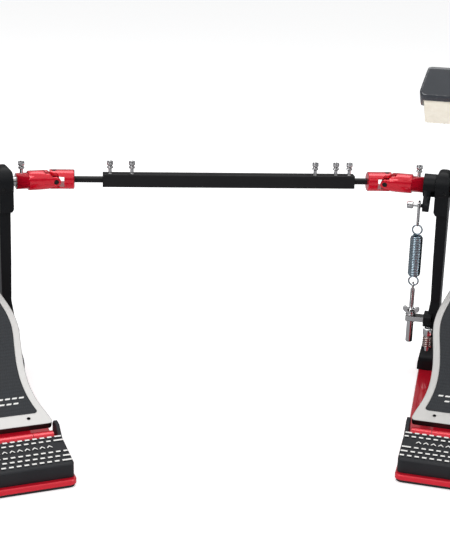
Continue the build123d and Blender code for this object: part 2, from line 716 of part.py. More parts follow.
# ---- spring side: rocker on the axle, hook, coil, eye rod, nuts ----
def make_spring_side(name, end):
    angle = radians(rocker_pin_angle)
    pin_y, pin_z = -rocker_pin_reach * sin(angle), axle_height - rocker_pin_reach * cos(angle)
    with BuildPart() as rocker:
        with BuildSketch(side(primary, end * 58.8, 0, axle_height)):
            Circle(12)
        extrude(amount=6.3, both=True)
        with BuildSketch(side(primary, end * 60.2)):
            with Locations((pin_y, pin_z)):
                Circle(6)
            with BuildLine():
                reach_y, reach_z = 6 * cos(angle), 6 * sin(angle)
                Polyline(
                    (reach_y, axle_height - reach_z), (pin_y + reach_y, pin_z - reach_z),
                    (pin_y - reach_y, pin_z + reach_z), (-reach_y, axle_height + reach_z), close=True,
                )
            make_face()
        extrude(amount=3.2, both=True)
        with BuildSketch(side(primary, end * 60.2, 0, axle_height)):
            Circle(axle_radius + 0.02)
        extrude(amount=20, both=True, mode=Mode.SUBTRACT)
        # pin and its knurled knob
        with BuildSketch(side(primary, end * 69)):
            with Locations((pin_y, pin_z)):
                Circle(2)
        extrude(amount=6, both=True)
        with BuildSketch(side(primary, end * 76)):
            with Locations((pin_y, pin_z)):
                Circle(3.8)
        extrude(amount=3.2, both=True)
    rocker.part.label = f"{name}_rocker"
    export_step(rocker.part, f"parts/{rocker.part.label}.step")

    x = end * spring_line
    loop_top = pin_z + 4.0
    loop_low = coil_high + 12
    with BuildPart() as hook:
        with BuildSketch(spring_plane(x, (1, 0, 0))):
            with Locations((0, (loop_top + loop_low) / 2 - anchor_z)):
                RectangleRounded(loop_width, loop_top - loop_low, 3.2)
                RectangleRounded(loop_width - 2 * wire, loop_top - loop_low - 2 * wire, 1.9,
                                 mode=Mode.SUBTRACT)
        extrude(amount=wire * 0.8, both=True)
        with BuildSketch(spring_plane(x, (0, -1, 0))):
            with Locations((0, coil_high + 6.2 - anchor_z)):
                Circle(5.6)
                Circle(5.6 - 2 * wire * 0.8, mode=Mode.SUBTRACT)
        extrude(amount=wire * 0.8, both=True)
    hook.part.label = f"{name}_spring_hook"
    export_step(hook.part, f"parts/{hook.part.label}.step")

    with BuildPart() as coil:
        with BuildSketch(spring_plane(x, (0, 0, 1), coil_low - anchor_z)):
            Circle(coil_radius)
            Circle(coil_radius - 2 * wire * 0.8, mode=Mode.SUBTRACT)
        extrude(amount=coil_high - coil_low)
    coil.part.label = f"{name}_spring_coil"
    export_step(coil.part, f"parts/{coil.part.label}.step")

    with BuildPart() as eye_rod:
        with BuildSketch(side(primary, x)):
            with Locations((anchor_y, anchor_z)):
                Circle(4.4)
        extrude(amount=1.6, both=True)
        with BuildSketch(place(primary, (x, anchor_y, 30))):
            Circle(eye_rod_radius)
        extrude(amount=anchor_z - 30)
        with BuildSketch(side(primary, x)):
            with Locations((anchor_y, anchor_z)):
                Circle(2.4)
        extrude(amount=6, both=True, mode=Mode.SUBTRACT)
    eye_rod.part.label = f"{name}_eye_rod"
    export_step(eye_rod.part, f"parts/{eye_rod.part.label}.step")

    with BuildPart() as nuts:
        # wing nut above the bracket, long tension nut below it
        with BuildSketch(place(primary, (x, anchor_y, bracket_z + 3.2))):
            Circle(4.6)
        extrude(amount=7)
        with BuildSketch(place(primary, (x, anchor_y, bracket_z + 7.5))):
            Rectangle(17.5, 2.6)
        extrude(amount=7)
        with BuildSketch(place(primary, (x, anchor_y, bracket_z - 3.2))):
            Circle(3.6)
        extrude(amount=-24)
        with BuildSketch(place(primary, (x, anchor_y, 0))):
            Circle(eye_rod_radius + running_gap)
        extrude(amount=100, mode=Mode.SUBTRACT)
    nuts.part.label = f"{name}_spring_nuts"
    export_step(nuts.part, f"parts/{nuts.part.label}.step")


def spring_plane(x, facing, above=0.0):
    """A plane of the spring's own frame, which stands on the eye and leans to the rocker pin."""
    angle = radians(rocker_pin_angle)
    rise = axle_height - rocker_pin_reach * cos(angle) - anchor_z
    run = -rocker_pin_reach * sin(angle) - anchor_y
    length = (rise**2 + run**2) ** 0.5
    up = (0, run / length, rise / length)
    back = (0, -up[2], up[1])
    spot = (x, anchor_y + up[1] * above, anchor_z + up[2] * above)
    if facing == (0, 0, 1):
        return place(primary, spot, across=(1, 0, 0), facing=up)
    if facing == (1, 0, 0):
        return place(primary, spot, across=(0, up[2], -up[1]), facing=(1, 0, 0))
    return place(primary, spot, across=(1, 0, 0), facing=back)


def make_brackets():
    with BuildPart() as spring_brackets:
        for end in (-1, 1):
            with BuildSketch(place(primary, (end * 59, anchor_y, bracket_z))):
                Rectangle(26, 12)
                with Locations((end * (spring_line - 59), 0)):
                    Circle(eye_rod_radius + 0.3, mode=Mode.SUBTRACT)
            extrude(amount=2.5, both=True)
    spring_brackets.part.label = "spring_brackets"
    export_step(spring_brackets.part, "parts/spring_brackets.step")


# ---- linkage: two universal joints, two round shafts and the square telescopic tube ----
yoke_radius, tine_gap, tine_round = 10.0, 5.4, 4.8
web, outer_yoke_end = 10.5, 20.4  # along the yoke's axis from the joint's centre
inner_yoke_end, collar_end, collar_radius = 27.6, 39.4, 8.2
cross_pin_radius, cross_gap = 2.3, 0.3
pin_drop = 8.0  # the inner yoke's pin points this far below horizontal at rest
tube_left, tube_right, tube_side = -123.0, 137.5, 13.4
shaft_radius = 3.3
slave_shaft_end, primary_shaft_end = -48.0, 80.0
tube_screws = (-115.5, -93.2, 96.5, 118.2, 132.3)
collar_screw_along = 33.6


def joint_centre(pedal):
    return Vector(-pedal.inner * joint_spacing / 2 + origin_shift[0], origin_shift[1], axle_height)


def axle_line(pedal):
    """Unit vector along the axle from the universal joint back to the pedal."""
    return pedal.plane.x_dir * -pedal.inner


def pin_lines(pedal):
    """Pin directions of the inner and of the outer yoke, at rest."""
    drop = radians(pin_drop)
    inner_pin = pedal.plane.y_dir * -cos(drop) - Vector(0, 0, sin(drop))
    outer_pin = inner_pin.cross(Vector(1, 0, 0)).normalized()
    return inner_pin, outer_pin


def yoke_body(centre, shaft, pin, end):
    """A fork whose tines hold a cross pin; its body runs back along the shaft, not yet bored."""
    across = Plane(origin=centre, x_dir=shaft, z_dir=pin)
    along = Plane(origin=centre, x_dir=pin, z_dir=shaft)
    with BuildPart() as fork:
        with BuildSketch(across):
            Circle(tine_round)
            Polygon((0, -tine_round), (3, -tine_round), (web - 2, -yoke_radius),
                    (web + 2, -yoke_radius), (web + 2, yoke_radius), (web - 2, yoke_radius),
                    (3, tine_round), (0, tine_round), align=None)
        extrude(amount=yoke_radius, both=True)
        with BuildSketch(along):
            Circle(yoke_radius)
        extrude(amount=web + 2, both=True, mode=Mode.INTERSECT)
        with BuildSketch(across):
            with Locations((web / 2 - 10, 0)):
                Rectangle(web + 20, 3 * yoke_radius)
        extrude(amount=tine_gap, both=True, mode=Mode.SUBTRACT)
        with BuildSketch(along.offset(web)):
            Circle(yoke_radius)
        extrude(amount=end - web)
        chamfer(fork.faces().sort_by(Axis(centre, shaft))[-1].edges(), 0.8)
        with BuildSketch(across):
            Circle(cross_pin_radius + cross_gap)
        extrude(amount=2 * yoke_radius, both=True, mode=Mode.SUBTRACT)
    return fork.part


def key_screw(seat, tip, height):
    """A drum-key screw standing on its seat plane: shank below, neck and square notched head above."""
    with BuildPart() as screw:
        with BuildSketch(seat.offset(-tip)):
            Circle(2)
        extrude(amount=tip + height / 2)
        with BuildSketch(seat.offset(height / 2)):
            Circle(3.3)
        extrude(amount=height / 2)
        with BuildSketch(seat.offset(height - 2.4)):
            Rectangle(8, 1.8)
            Rectangle(1.8, 8)
        extrude(amount=4, mode=Mode.SUBTRACT)
    return screw.part


def make_linkage(pedal):
    centre, back = joint_centre(pedal), axle_line(pedal)
    inner_pin, outer_pin = pin_lines(pedal)
    to_tube = Vector(pedal.inner, 0, 0)
    collar = Plane(origin=centre + back * (inner_yoke_end - 1), x_dir=(0, 0, 1), z_dir=back)
    screw_seat = Plane(
        origin=centre + back * collar_screw_along + Vector(0, 0, collar_radius - 0.6),
        x_dir=back, z_dir=(0, 0, 1),
    )
    with BuildPart() as inner_yoke:
        add(yoke_body(centre, back, inner_pin, inner_yoke_end))
        with BuildSketch(collar):
            Circle(collar_radius)
        extrude(amount=collar_end - inner_yoke_end + 1)
        with BuildSketch(collar.offset(-10)):
            Circle(axle_radius + 0.02)
        extrude(amount=30, mode=Mode.SUBTRACT)
        with BuildSketch(screw_seat):
            Circle(2.02)
        extrude(amount=10, both=True, mode=Mode.SUBTRACT)
        add(key_screw(screw_seat, collar_radius - 0.6 - axle_radius - 0.3, 13))
    inner_yoke.part.label = f"{pedal.name}_inner_yoke"
    export_step(inner_yoke.part, f"parts/{inner_yoke.part.label}.step")

    with BuildPart() as outer_yoke:
        add(yoke_body(centre, to_tube, outer_pin, outer_yoke_end))
        with BuildSketch(Plane(origin=centre + to_tube * (outer_yoke_end - 8), z_dir=to_tube)):
            Circle(shaft_radius + 0.02)
        extrude(amount=12, mode=Mode.SUBTRACT)
    outer_yoke.part.label = f"{pedal.name}_outer_yoke"
    export_step(outer_yoke.part, f"parts/{outer_yoke.part.label}.step")

    with BuildPart() as cross:
        with BuildSketch(Plane(origin=centre, x_dir=inner_pin, z_dir=inner_pin.cross(outer_pin))):
            Rectangle(8.4, 8.4)
        extrude(amount=4, both=True)
        for pin in (inner_pin, outer_pin):
            with BuildSketch(Plane(origin=centre, z_dir=pin)):
                Circle(cross_pin_radius)
            extrude(amount=yoke_radius - 0.6, both=True)
    cross.part.label = f"{pedal.name}_joint_cross"
    export_step(cross.part, f"parts/{cross.part.label}.step")

    start = -pedal.inner * (joint_spacing / 2 - outer_yoke_end + 7.8)
    end = slave_shaft_end if pedal is slave else primary_shaft_end
    shaft_start = Plane(origin=tube_point(start), z_dir=to_tube)
    with BuildPart() as shaft:
        with BuildSketch(shaft_start):
            Circle(shaft_radius)
        extrude(amount=abs(end - start))
        chamfer(shaft.edges().filter_by(GeomType.CIRCLE).sort_by(Axis(centre, to_tube))[-1], 0.6)
    shaft.part.label = f"{pedal.name}_shaft"
    export_step(shaft.part, f"parts/{shaft.part.label}.step")


def tube_point(x, above=0.0):
    """A point on the linkage line, x measured from the middle between the two joints."""
    return Vector(x + origin_shift[0], origin_shift[1], axle_height + above)


def make_tube():
    with BuildPart() as link_tube:
        with BuildSketch(Plane(origin=tube_point(tube_left), x_dir=(0, 1, 0), z_dir=(1, 0, 0))):
            Rectangle(tube_side, tube_side)
        extrude(amount=tube_right - tube_left)
        chamfer(link_tube.edges().filter_by(Axis.X), 0.7)
        with BuildSketch(Plane(origin=tube_point(tube_left - 1), z_dir=(1, 0, 0))):
            Circle(shaft_radius + running_gap)
        extrude(amount=tube_right - tube_left + 2, mode=Mode.SUBTRACT)
        for x in tube_screws:
            with BuildSketch(Plane(origin=tube_point(x, 2))):
                Circle(2.02)
            extrude(amount=8, mode=Mode.SUBTRACT)
    link_tube.part.label = "link_tube"
    export_step(link_tube.part, "parts/link_tube.step")

    with BuildPart() as tube_key_screws:
        for x in tube_screws:
            seat = Plane(origin=tube_point(x, tube_side / 2))
            add(key_screw(seat, tube_side / 2 - shaft_radius - 0.35, 12.5))
    tube_key_screws.part.label = "tube_key_screws"
    export_step(tube_key_screws.part, "parts/tube_key_screws.step")


# ---- hoop clamp at the front of the primary pedal ----
jaw_pivot_y, jaw_pivot_z = 47.5, 25.0
clamp_bolt_y, clamp_bolt_radius = 61.0, 3.0


def make_hoop_clamp():
    with BuildPart() as clamp_jaw:
        with BuildSketch(side(primary, 0)):
            with Locations((jaw_pivot_y, jaw_pivot_z)):
                Circle(4.5)
            with BuildLine():
                Polyline((jaw_pivot_y, 29.5), (66, 29.5), (75, 25), (88, 25), (88, 16.5), (80, 16.5),
                         (72, 19), (66, 23.5), (jaw_pivot_y, 20.5), close=True)
            make_face()
        extrude(amount=15, both=True)
        with BuildSketch(side(primary, 0)):
            with Locations((jaw_pivot_y, jaw_pivot_z)):
                Circle(2.5)
        extrude(amount=22, both=True)
        with BuildSketch(level(primary, 0)):
            with Locations((0, clamp_bolt_y)):
                SlotOverall(12, 7.4, rotation=90)
        extrude(amount=60, mode=Mode.SUBTRACT)
    clamp_jaw.part.label = "hoop_clamp_jaw"
    export_step(clamp_jaw.part, "parts/hoop_clamp_jaw.step")

    with BuildPart() as clamp_bolt:
        for low, high, radius in ((4.5, 31, clamp_bolt_radius), (30.7, 33, 7), (33, 40, 5)):
            with BuildSketch(place(primary, (0, clamp_bolt_y, low))):
                Circle(radius)
            extrude(amount=high - low)
        with BuildSketch(place(primary, (0, clamp_bolt_y, 0), facing=(0, -1, 0))):
            with Locations((9, 41), (-9, 41)):
                Circle(5)
            Polygon((-11, 37), (-4, 34), (4, 34), (11, 37), (7, 42), (-7, 42), align=None)
        extrude(amount=1.6, both=True)
    clamp_bolt.part.label = "hoop_clamp_bolt"
    export_step(clamp_bolt.part, "parts/hoop_clamp_bolt.step")


for pedal in (slave, primary):
    make_base(pedal)
    make_frame(pedal)
    make_bearings(pedal)
    make_spurs(pedal)
    make_heel_plate(pedal)
    make_hinge(pedal)
    make_board(pedal)
    make_chain(pedal)
    make_sprocket(pedal)
    make_linkage(pedal)
make_tube()
make_hoop_clamp()
make_axles()
for name, end in (("main", 1), ("second", -1)):
    make_beater(name, end * hub_offset)
    make_spring_side(name, end)
make_brackets()
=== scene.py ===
import json
import math

import bmesh
import bpy
from mathutils import Matrix, Vector


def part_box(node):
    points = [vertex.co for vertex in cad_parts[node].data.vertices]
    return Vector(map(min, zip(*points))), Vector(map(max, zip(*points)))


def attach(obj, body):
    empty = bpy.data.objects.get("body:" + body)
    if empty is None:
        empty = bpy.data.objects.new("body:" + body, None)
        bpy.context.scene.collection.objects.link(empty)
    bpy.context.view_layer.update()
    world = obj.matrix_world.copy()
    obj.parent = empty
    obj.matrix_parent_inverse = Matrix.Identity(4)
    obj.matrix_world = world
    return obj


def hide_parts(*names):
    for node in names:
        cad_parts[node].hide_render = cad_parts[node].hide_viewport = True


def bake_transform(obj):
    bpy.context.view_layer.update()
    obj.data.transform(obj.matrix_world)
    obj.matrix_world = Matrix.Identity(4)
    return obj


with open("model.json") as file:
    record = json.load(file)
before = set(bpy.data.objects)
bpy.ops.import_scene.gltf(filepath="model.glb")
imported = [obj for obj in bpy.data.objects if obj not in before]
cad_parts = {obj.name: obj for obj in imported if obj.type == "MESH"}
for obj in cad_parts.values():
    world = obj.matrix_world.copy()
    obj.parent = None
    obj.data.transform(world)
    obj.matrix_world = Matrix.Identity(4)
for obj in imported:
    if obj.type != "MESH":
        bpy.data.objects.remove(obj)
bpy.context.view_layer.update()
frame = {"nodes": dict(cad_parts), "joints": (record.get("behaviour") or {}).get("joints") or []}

# ---- Camera ----
# A standing viewer's eye in front of the player's side, a little left of the middle, looking
# slightly down at the linkage between the two pedals.
camera_data = bpy.data.cameras.new("camera")
camera_data.sensor_width = 36.0
camera_data.lens = 78.0
camera_data.shift_y = 0.002
camera_data.clip_end = 60.0
camera = bpy.data.objects.new("camera", camera_data)
bpy.context.scene.collection.objects.link(camera)
yaw, pitch, roll = 0.094994, 0.300508, 0.028894
look = Vector((math.sin(yaw) * math.cos(pitch), math.cos(yaw) * math.cos(pitch), -math.sin(pitch)))
level_right = Vector((math.cos(yaw), -math.sin(yaw), 0))
level_up = level_right.cross(look)
right = level_right * math.cos(roll) + level_up * math.sin(roll)
up = level_up * math.cos(roll) - level_right * math.sin(roll)
stance = Matrix((right, up, -look)).transposed().to_4x4()
stance.translation = Vector((-0.112035, -1.044268, 0.465044))
camera.matrix_world = stance
bpy.context.scene.camera = camera

# ---- Floor and studio light ----
# A white paper sweep under broad soft lamps, as for a product on a seamless backdrop.
bpy.context.scene.view_settings.view_transform = "Standard"


def colour_ramp(nodes, stops):
    """A ramp between (place, grey or colour) stops."""
    ramp = nodes.new("ShaderNodeValToRGB")
    elements = ramp.color_ramp.elements
    while len(elements) < len(stops):
        elements.new(0.5)
    for element, (place, value) in zip(elements, stops):
        element.position = place
        element.color = (*value, 1) if isinstance(value, tuple) else (value, value, value, 1)
    return ramp


def new_material(name, **numbers):
    """A material whose shader has its even values set on its own sockets."""
    material = bpy.data.materials.new(name)
    material.use_nodes = True
    shader = material.node_tree.nodes["Principled BSDF"]
    for socket, value in numbers.items():
        shader.inputs[socket.replace("_", " ")].default_value = value
    return material, material.node_tree.nodes, material.node_tree.links, shader


paper, nodes, links, shader = new_material("paper", Roughness=0.9, Emission_Strength=0.42)
shader.inputs["Emission Color"].default_value = (1, 1, 1, 1)
spot = nodes.new("ShaderNodeTexNoise")
spot.inputs["Scale"].default_value = 3.0
tint = colour_ramp(nodes, ((0.3, (0.92, 0.925, 0.93)), (0.7, (0.94, 0.94, 0.94))))
links.new(spot.outputs["Fac"], tint.inputs["Fac"])
links.new(tint.outputs["Color"], shader.inputs["Base Color"])
# what plated parts mirror is a dimmer floor, so that their edges stay readable
mirrored_floor = nodes.new("ShaderNodeBsdfDiffuse")
mirrored_floor.inputs["Color"].default_value = (0.36, 0.36, 0.37, 1)
direct = nodes.new("ShaderNodeLightPath")
paper_seen = nodes.new("ShaderNodeMixShader")
links.new(direct.outputs["Is Glossy Ray"], paper_seen.inputs["Fac"])
links.new(shader.outputs["BSDF"], paper_seen.inputs[1])
links.new(mirrored_floor.outputs["BSDF"], paper_seen.inputs[2])
links.new(paper_seen.outputs["Shader"], nodes["Material Output"].inputs["Surface"])

sweep = bmesh.new()
bmesh.ops.create_grid(sweep, x_segments=2, y_segments=2, size=14)
floor_mesh = bpy.data.meshes.new("floor")
sweep.to_mesh(floor_mesh)
sweep.free()
floor_mesh.transform(Matrix.Translation((0, 6, -0.0004)))
floor = bpy.data.objects.new("floor", floor_mesh)
floor.data.materials.append(paper)
bpy.context.scene.collection.objects.link(floor)

sky = bpy.data.worlds.new("studio")
sky.use_nodes = True
nodes, links = sky.node_tree.nodes, sky.node_tree.links
room = nodes["Background"]
toward = nodes.new("ShaderNodeTexCoord")
split = nodes.new("ShaderNodeSeparateXYZ")
links.new(toward.outputs["Generated"], split.inputs["Vector"])
height = colour_ramp(nodes, ((0.0, 0.75), (0.02, 0.05), (0.34, 0.09), (0.46, 0.75), (0.62, 1.0)))
links.new(split.outputs["Z"], height.inputs["Fac"])
links.new(height.outputs["Color"], room.inputs["Color"])
room.inputs["Strength"].default_value = 0.7
backdrop = nodes.new("ShaderNodeBackground")
backdrop.inputs["Color"].default_value = (0.94, 0.94, 0.945, 1)
seen = nodes.new("ShaderNodeLightPath")
either = nodes.new("ShaderNodeMixShader")
links.new(seen.outputs["Is Camera Ray"], either.inputs["Fac"])
links.new(room.outputs["Background"], either.inputs[1])
links.new(backdrop.outputs["Background"], either.inputs[2])
links.new(either.outputs["Shader"], nodes["World Output"].inputs["Surface"])
bpy.context.scene.world = sky

for lamp, place, aim, size, power in (
    ("key", (-1.3, -1.2, 2.0), (0, 0, 0.1), (1.4, 0.9), 14),
    ("strip", (1.7, -0.8, 1.3), (0.2, 0, 0.15), (0.35, 1.5), 7),
    ("top", (0.1, 0.6, 2.2), (0, 0, 0.1), (2.2, 1.1), 16),
    ("low strip", (-1.5, -1.1, 0.6), (0.2, 0, 0.15), (0.25, 1.1), 4),
):
    light = bpy.data.lights.new(lamp, "AREA")
    light.shape = "RECTANGLE"
    light.size, light.size_y = size
    light.energy = power
    holder = bpy.data.objects.new(lamp, light)
    holder.location = place
    holder.rotation_euler = (Vector(aim) - Vector(place)).to_track_quat("-Z", "Y").to_euler()
    bpy.context.scene.collection.objects.link(holder)

# ---- Rubber mats ----
# A moulded rubber sheet under each base plate keeps the pedal from sliding. It is cut to the
# plate's outline and glued on.


def shader_group(name, inputs, outputs):
    """An empty shader node group with float inputs and the given outputs."""
    group = bpy.data.node_groups.new(name, "ShaderNodeTree")
    for label, value in inputs:
        socket = group.interface.new_socket(label, in_out="INPUT", socket_type="NodeSocketFloat")
        socket.default_value = value
    for label, kind in outputs:
        group.interface.new_socket(label, in_out="OUTPUT", socket_type="NodeSocket" + kind)
    return group, group.nodes.new("NodeGroupInput"), group.nodes.new("NodeGroupOutput")


def grain_group():
    """Fine cast or moulded grain: a small noise over a smaller one, as a height and a mask."""
    group, given, made = shader_group(
        "surface grain", (("Scale", 900), ("Blotch", 25)), (("Height", "Float"), ("Mask", "Float")))
    where = group.nodes.new("ShaderNodeTexCoord")
    fine = group.nodes.new("ShaderNodeTexNoise")
    fine.inputs["Detail"].default_value = 3
    broad = group.nodes.new("ShaderNodeTexNoise")
    broad.inputs["Detail"].default_value = 4
    group.links.new(where.outputs["Object"], fine.inputs["Vector"])
    group.links.new(where.outputs["Object"], broad.inputs["Vector"])
    group.links.new(given.outputs["Scale"], fine.inputs["Scale"])
    group.links.new(given.outputs["Blotch"], broad.inputs["Scale"])
    group.links.new(fine.outputs["Fac"], made.inputs["Height"])
    group.links.new(broad.outputs["Fac"], made.inputs["Mask"])
    return group


def edge_group():
    """Rounded edges as a normal, and where an edge is, as a mask that wear follows."""
    group, given, made = shader_group(
        "edge wear", (("Radius", 0.0006), ("Wear", 1.0)), (("Normal", "Vector"), ("Mask", "Float")))
    bevel = group.nodes.new("ShaderNodeBevel")
    bevel.samples = 4
    facing = group.nodes.new("ShaderNodeNewGeometry")
    align = group.nodes.new("ShaderNodeVectorMath")
    align.operation = "DOT_PRODUCT"
    bend = group.nodes.new("ShaderNodeMath")
    bend.operation = "SUBTRACT"
    bend.inputs[0].default_value = 1.0
    where = group.nodes.new("ShaderNodeTexCoord")
    chips = group.nodes.new("ShaderNodeTexNoise")
    chips.inputs["Scale"].default_value = 260
    chips.inputs["Detail"].default_value = 5
    broken = group.nodes.new("ShaderNodeMath")
    broken.operation = "MULTIPLY"
    strength = group.nodes.new("ShaderNodeMath")
    strength.operation = "MULTIPLY"
    strength.use_clamp = True
    group.links.new(given.outputs["Radius"], bevel.inputs["Radius"])
    group.links.new(bevel.outputs["Normal"], align.inputs[0])
    group.links.new(facing.outputs["Normal"], align.inputs[1])
    group.links.new(align.outputs["Value"], bend.inputs[1])
    group.links.new(where.outputs["Object"], chips.inputs["Vector"])
    group.links.new(bend.outputs["Value"], broken.inputs[0])
    group.links.new(chips.outputs["Fac"], broken.inputs[1])
    group.links.new(broken.outputs["Value"], strength.inputs[0])
    group.links.new(given.outputs["Wear"], strength.inputs[1])
    group.links.new(bevel.outputs["Normal"], made.inputs["Normal"])
    group.links.new(strength.outputs["Value"], made.inputs["Mask"])
    return group


surface_grain, edge_wear = grain_group(), edge_group()


def place_group(nodes, group, **numbers):
    node = nodes.new("ShaderNodeGroup")
    node.node_tree = group
    for socket, value in numbers.items():
        node.inputs[socket].default_value = value
    return node


def mixed(nodes, links, mask, low, high):
    """A colour between two others by a mask. Each is a colour or an output socket."""
    mix = nodes.new("ShaderNodeMix")
    mix.data_type = "RGBA"
    links.new(mask, mix.inputs["Factor"])
    for side, value in (("A", low), ("B", high)):
        socket = next(s for s in mix.inputs if s.name == side and s.type == "RGBA")
        if isinstance(value, tuple):
            socket.default_value = (*value, 1)
        else:
            links.new(value, socket)
    return next(s for s in mix.outputs if s.type == "RGBA")


def spread(nodes, links, mask, low, high):
    """A number that runs from low to high as the mask goes from 0 to 1."""
    span = nodes.new("ShaderNodeMapRange")
    span.inputs["To Min"].default_value = low
    span.inputs["To Max"].default_value = high
    links.new(mask, span.inputs["Value"])
    return span.outputs["Result"]


def finish(name, colour, blotch_colour, roughness, edge_colour=None, edge=0.0005, wear=2.0, scale=900,
           blotch=25, depth=0.00003, metallic=0.0, bare_metal=False, **numbers):
    """A coat or a bare surface with grain, faint blotches, softened edges and worn corners."""
    material, nodes, links, shader = new_material(name, Metallic=metallic, **numbers)
    grain = place_group(nodes, surface_grain, Scale=scale, Blotch=blotch)
    corner = place_group(nodes, edge_wear, Radius=edge, Wear=wear)
    base = mixed(nodes, links, grain.outputs["Mask"], colour, blotch_colour)
    if edge_colour:
        base = mixed(nodes, links, corner.outputs["Mask"], base, edge_colour)
    links.new(base, shader.inputs["Base Color"])
    links.new(spread(nodes, links, grain.outputs["Mask"], *roughness), shader.inputs["Roughness"])
    if bare_metal:
        links.new(corner.outputs["Mask"], shader.inputs["Metallic"])
    bump = nodes.new("ShaderNodeBump")
    bump.inputs["Strength"].default_value = 0.6
    bump.inputs["Distance"].default_value = depth
    links.new(grain.outputs["Height"], bump.inputs["Height"])
    links.new(corner.outputs["Normal"], bump.inputs["Normal"])
    links.new(bump.outputs["Normal"], shader.inputs["Normal"])
    return material


def dress(material, *names):
    """Gives CAD nodes a material in place of the one they came with."""
    for name in names:
        mesh = frame["nodes"][name].data
        mesh.materials.clear()
        mesh.materials.append(material)


pedals = ("slave", "primary")
moulded_rubber = finish("moulded rubber", (0.012, 0.012, 0.013), (0.022, 0.022, 0.024), (0.62, 0.85),
                        (0.05, 0.05, 0.05), scale=1500, depth=0.00012, wear=1.0)
dress(moulded_rubber, *(f"{p}_base_mat" for p in pedals))

# ---- Base plates and heel hinges ----
# Flat plates and turned hinge knuckles of aluminium, anodised bright red under a clear top. The
# knuckles turn on a steel pin between the heel plate's ears.
red_anodised = finish("red anodised", (0.78, 0.006, 0.028), (0.70, 0.005, 0.022), (0.13, 0.22),
                      (0.9, 0.3, 0.3), scale=400, depth=0.000006, metallic=0.3, wear=1.4,
                      Coat_Weight=0.9, Coat_Roughness=0.05)
for p in pedals:
    dress(red_anodised, f"{p}_base_plate", f"{p}_hinge_base")

# ---- Frames and bearings ----
# Each frame is one aluminium casting under black powder coat, screwed to its base plate. Ball
# bearings press into its two housings and small screws lock them.
powder_coat = finish("black powder coat", (0.0035, 0.004, 0.005), (0.007, 0.008, 0.010),
                     (0.34, 0.46), (0.07, 0.075, 0.08), scale=1300, depth=0.00005, edge=0.0016,
                     wear=0.6, Specular_IOR_Level=0.22)
bearing_steel = finish("bearing steel", (0.50, 0.50, 0.49), (0.62, 0.61, 0.6), (0.22, 0.36),
                       scale=600, depth=0.00001, metallic=1.0)
for p in pedals:
    dress(powder_coat, f"{p}_frame")
    dress(bearing_steel, f"{p}_bearings")

MM = 0.001
joints = {joint["name"]: joint for joint in frame["joints"]}
axle_joints = {"slave": "slave_axle_swing", "primary": "main_beater_swing"}
axle_height = joints["main_beater_swing"]["pos_m"][2]


def standing(axes, spot):
    """A placing matrix from three unit axes and the point they start from."""
    place = Matrix(axes).transposed().to_4x4()
    place.translation = spot
    return place


def pedal_place(pedal):
    """A pedal's own frame on the floor: x along its axle, y towards the drum, z up."""
    joint = joints[axle_joints[pedal]]
    across, upright = -Vector(joint["axis"]), Vector((0, 0, 1))
    spot = Vector((joint["pos_m"][0], joint["pos_m"][1], 0))
    return standing((across, upright.cross(across), upright), spot)


def turned(profile, sides=28, knurl=()):
    """A solid turned about z from (radius, height) pairs in mm; knurl lists the rough rings."""
    shape = bmesh.new()
    rings = []
    for index, (radius, height) in enumerate(profile):
        ring = []
        for n in range(sides if radius else 1):
            angle = 2 * math.pi * n / sides
            out = radius - (0.3 if index in knurl and n % 2 else 0)
            ring.append(shape.verts.new(
                (out * math.cos(angle) * MM, out * math.sin(angle) * MM, height * MM)))
        rings.append(ring)
    for below, above in zip(rings, rings[1:]):
        for n in range(sides):
            corners = (below[n % len(below)], below[(n + 1) % len(below)],
                       above[(n + 1) % len(above)], above[n % len(above)])
            shape.faces.new(tuple(dict.fromkeys(corners)))
    return shape


def to_mesh(shape, name, smooth_angle=None):
    """The finished mesh of a working shape, with smooth faces between sharp edges."""
    mesh = bpy.data.meshes.new(name)
    shape.to_mesh(mesh)
    shape.free()
    if smooth_angle:
        mesh.shade_smooth()
        mesh.set_sharp_from_angle(angle=math.radians(smooth_angle))
    return mesh


def add_piece(name, mesh, material=None):
    piece = bpy.data.objects.new(name, mesh)
    bpy.context.scene.collection.objects.link(piece)
    if material:
        mesh.materials.clear()
        mesh.materials.append(material)
    return piece


def node_tree(name, inputs):
    """An empty Geometry Nodes tree with named inputs, its two ends and a way to add nodes."""
    tree = bpy.data.node_groups.new(name, "GeometryNodeTree")
    for label, kind in inputs:
        tree.interface.new_socket(label, in_out="INPUT", socket_type="NodeSocket" + kind)
    tree.interface.new_socket("Geometry", in_out="OUTPUT", socket_type="NodeSocketGeometry")
    return tree, tree.nodes.new("NodeGroupInput"), tree.nodes.new("NodeGroupOutput")


def calculate(tree, operation, a, b=None):
    """A math node on sockets or numbers; its result."""
    node = tree.nodes.new("ShaderNodeMath")
    node.operation = operation
    for socket, value in zip(node.inputs, (a, b)):
        if isinstance(value, (int, float)):
            socket.default_value = value
        elif value is not None:
            tree.links.new(value, socket)
    return node.outputs[0]


def end_tree(tree, given, made, geometry):
    """Every tree ends by making its copies real and giving them their material."""
    real = tree.nodes.new("GeometryNodeRealizeInstances")
    paint = tree.nodes.new("GeometryNodeSetMaterial")
    tree.links.new(geometry, real.inputs["Geometry"])
    tree.links.new(real.outputs["Geometry"], paint.inputs["Geometry"])
    tree.links.new(given.outputs["Material"], paint.inputs["Material"])
    tree.links.new(paint.outputs["Geometry"], made.inputs["Geometry"])


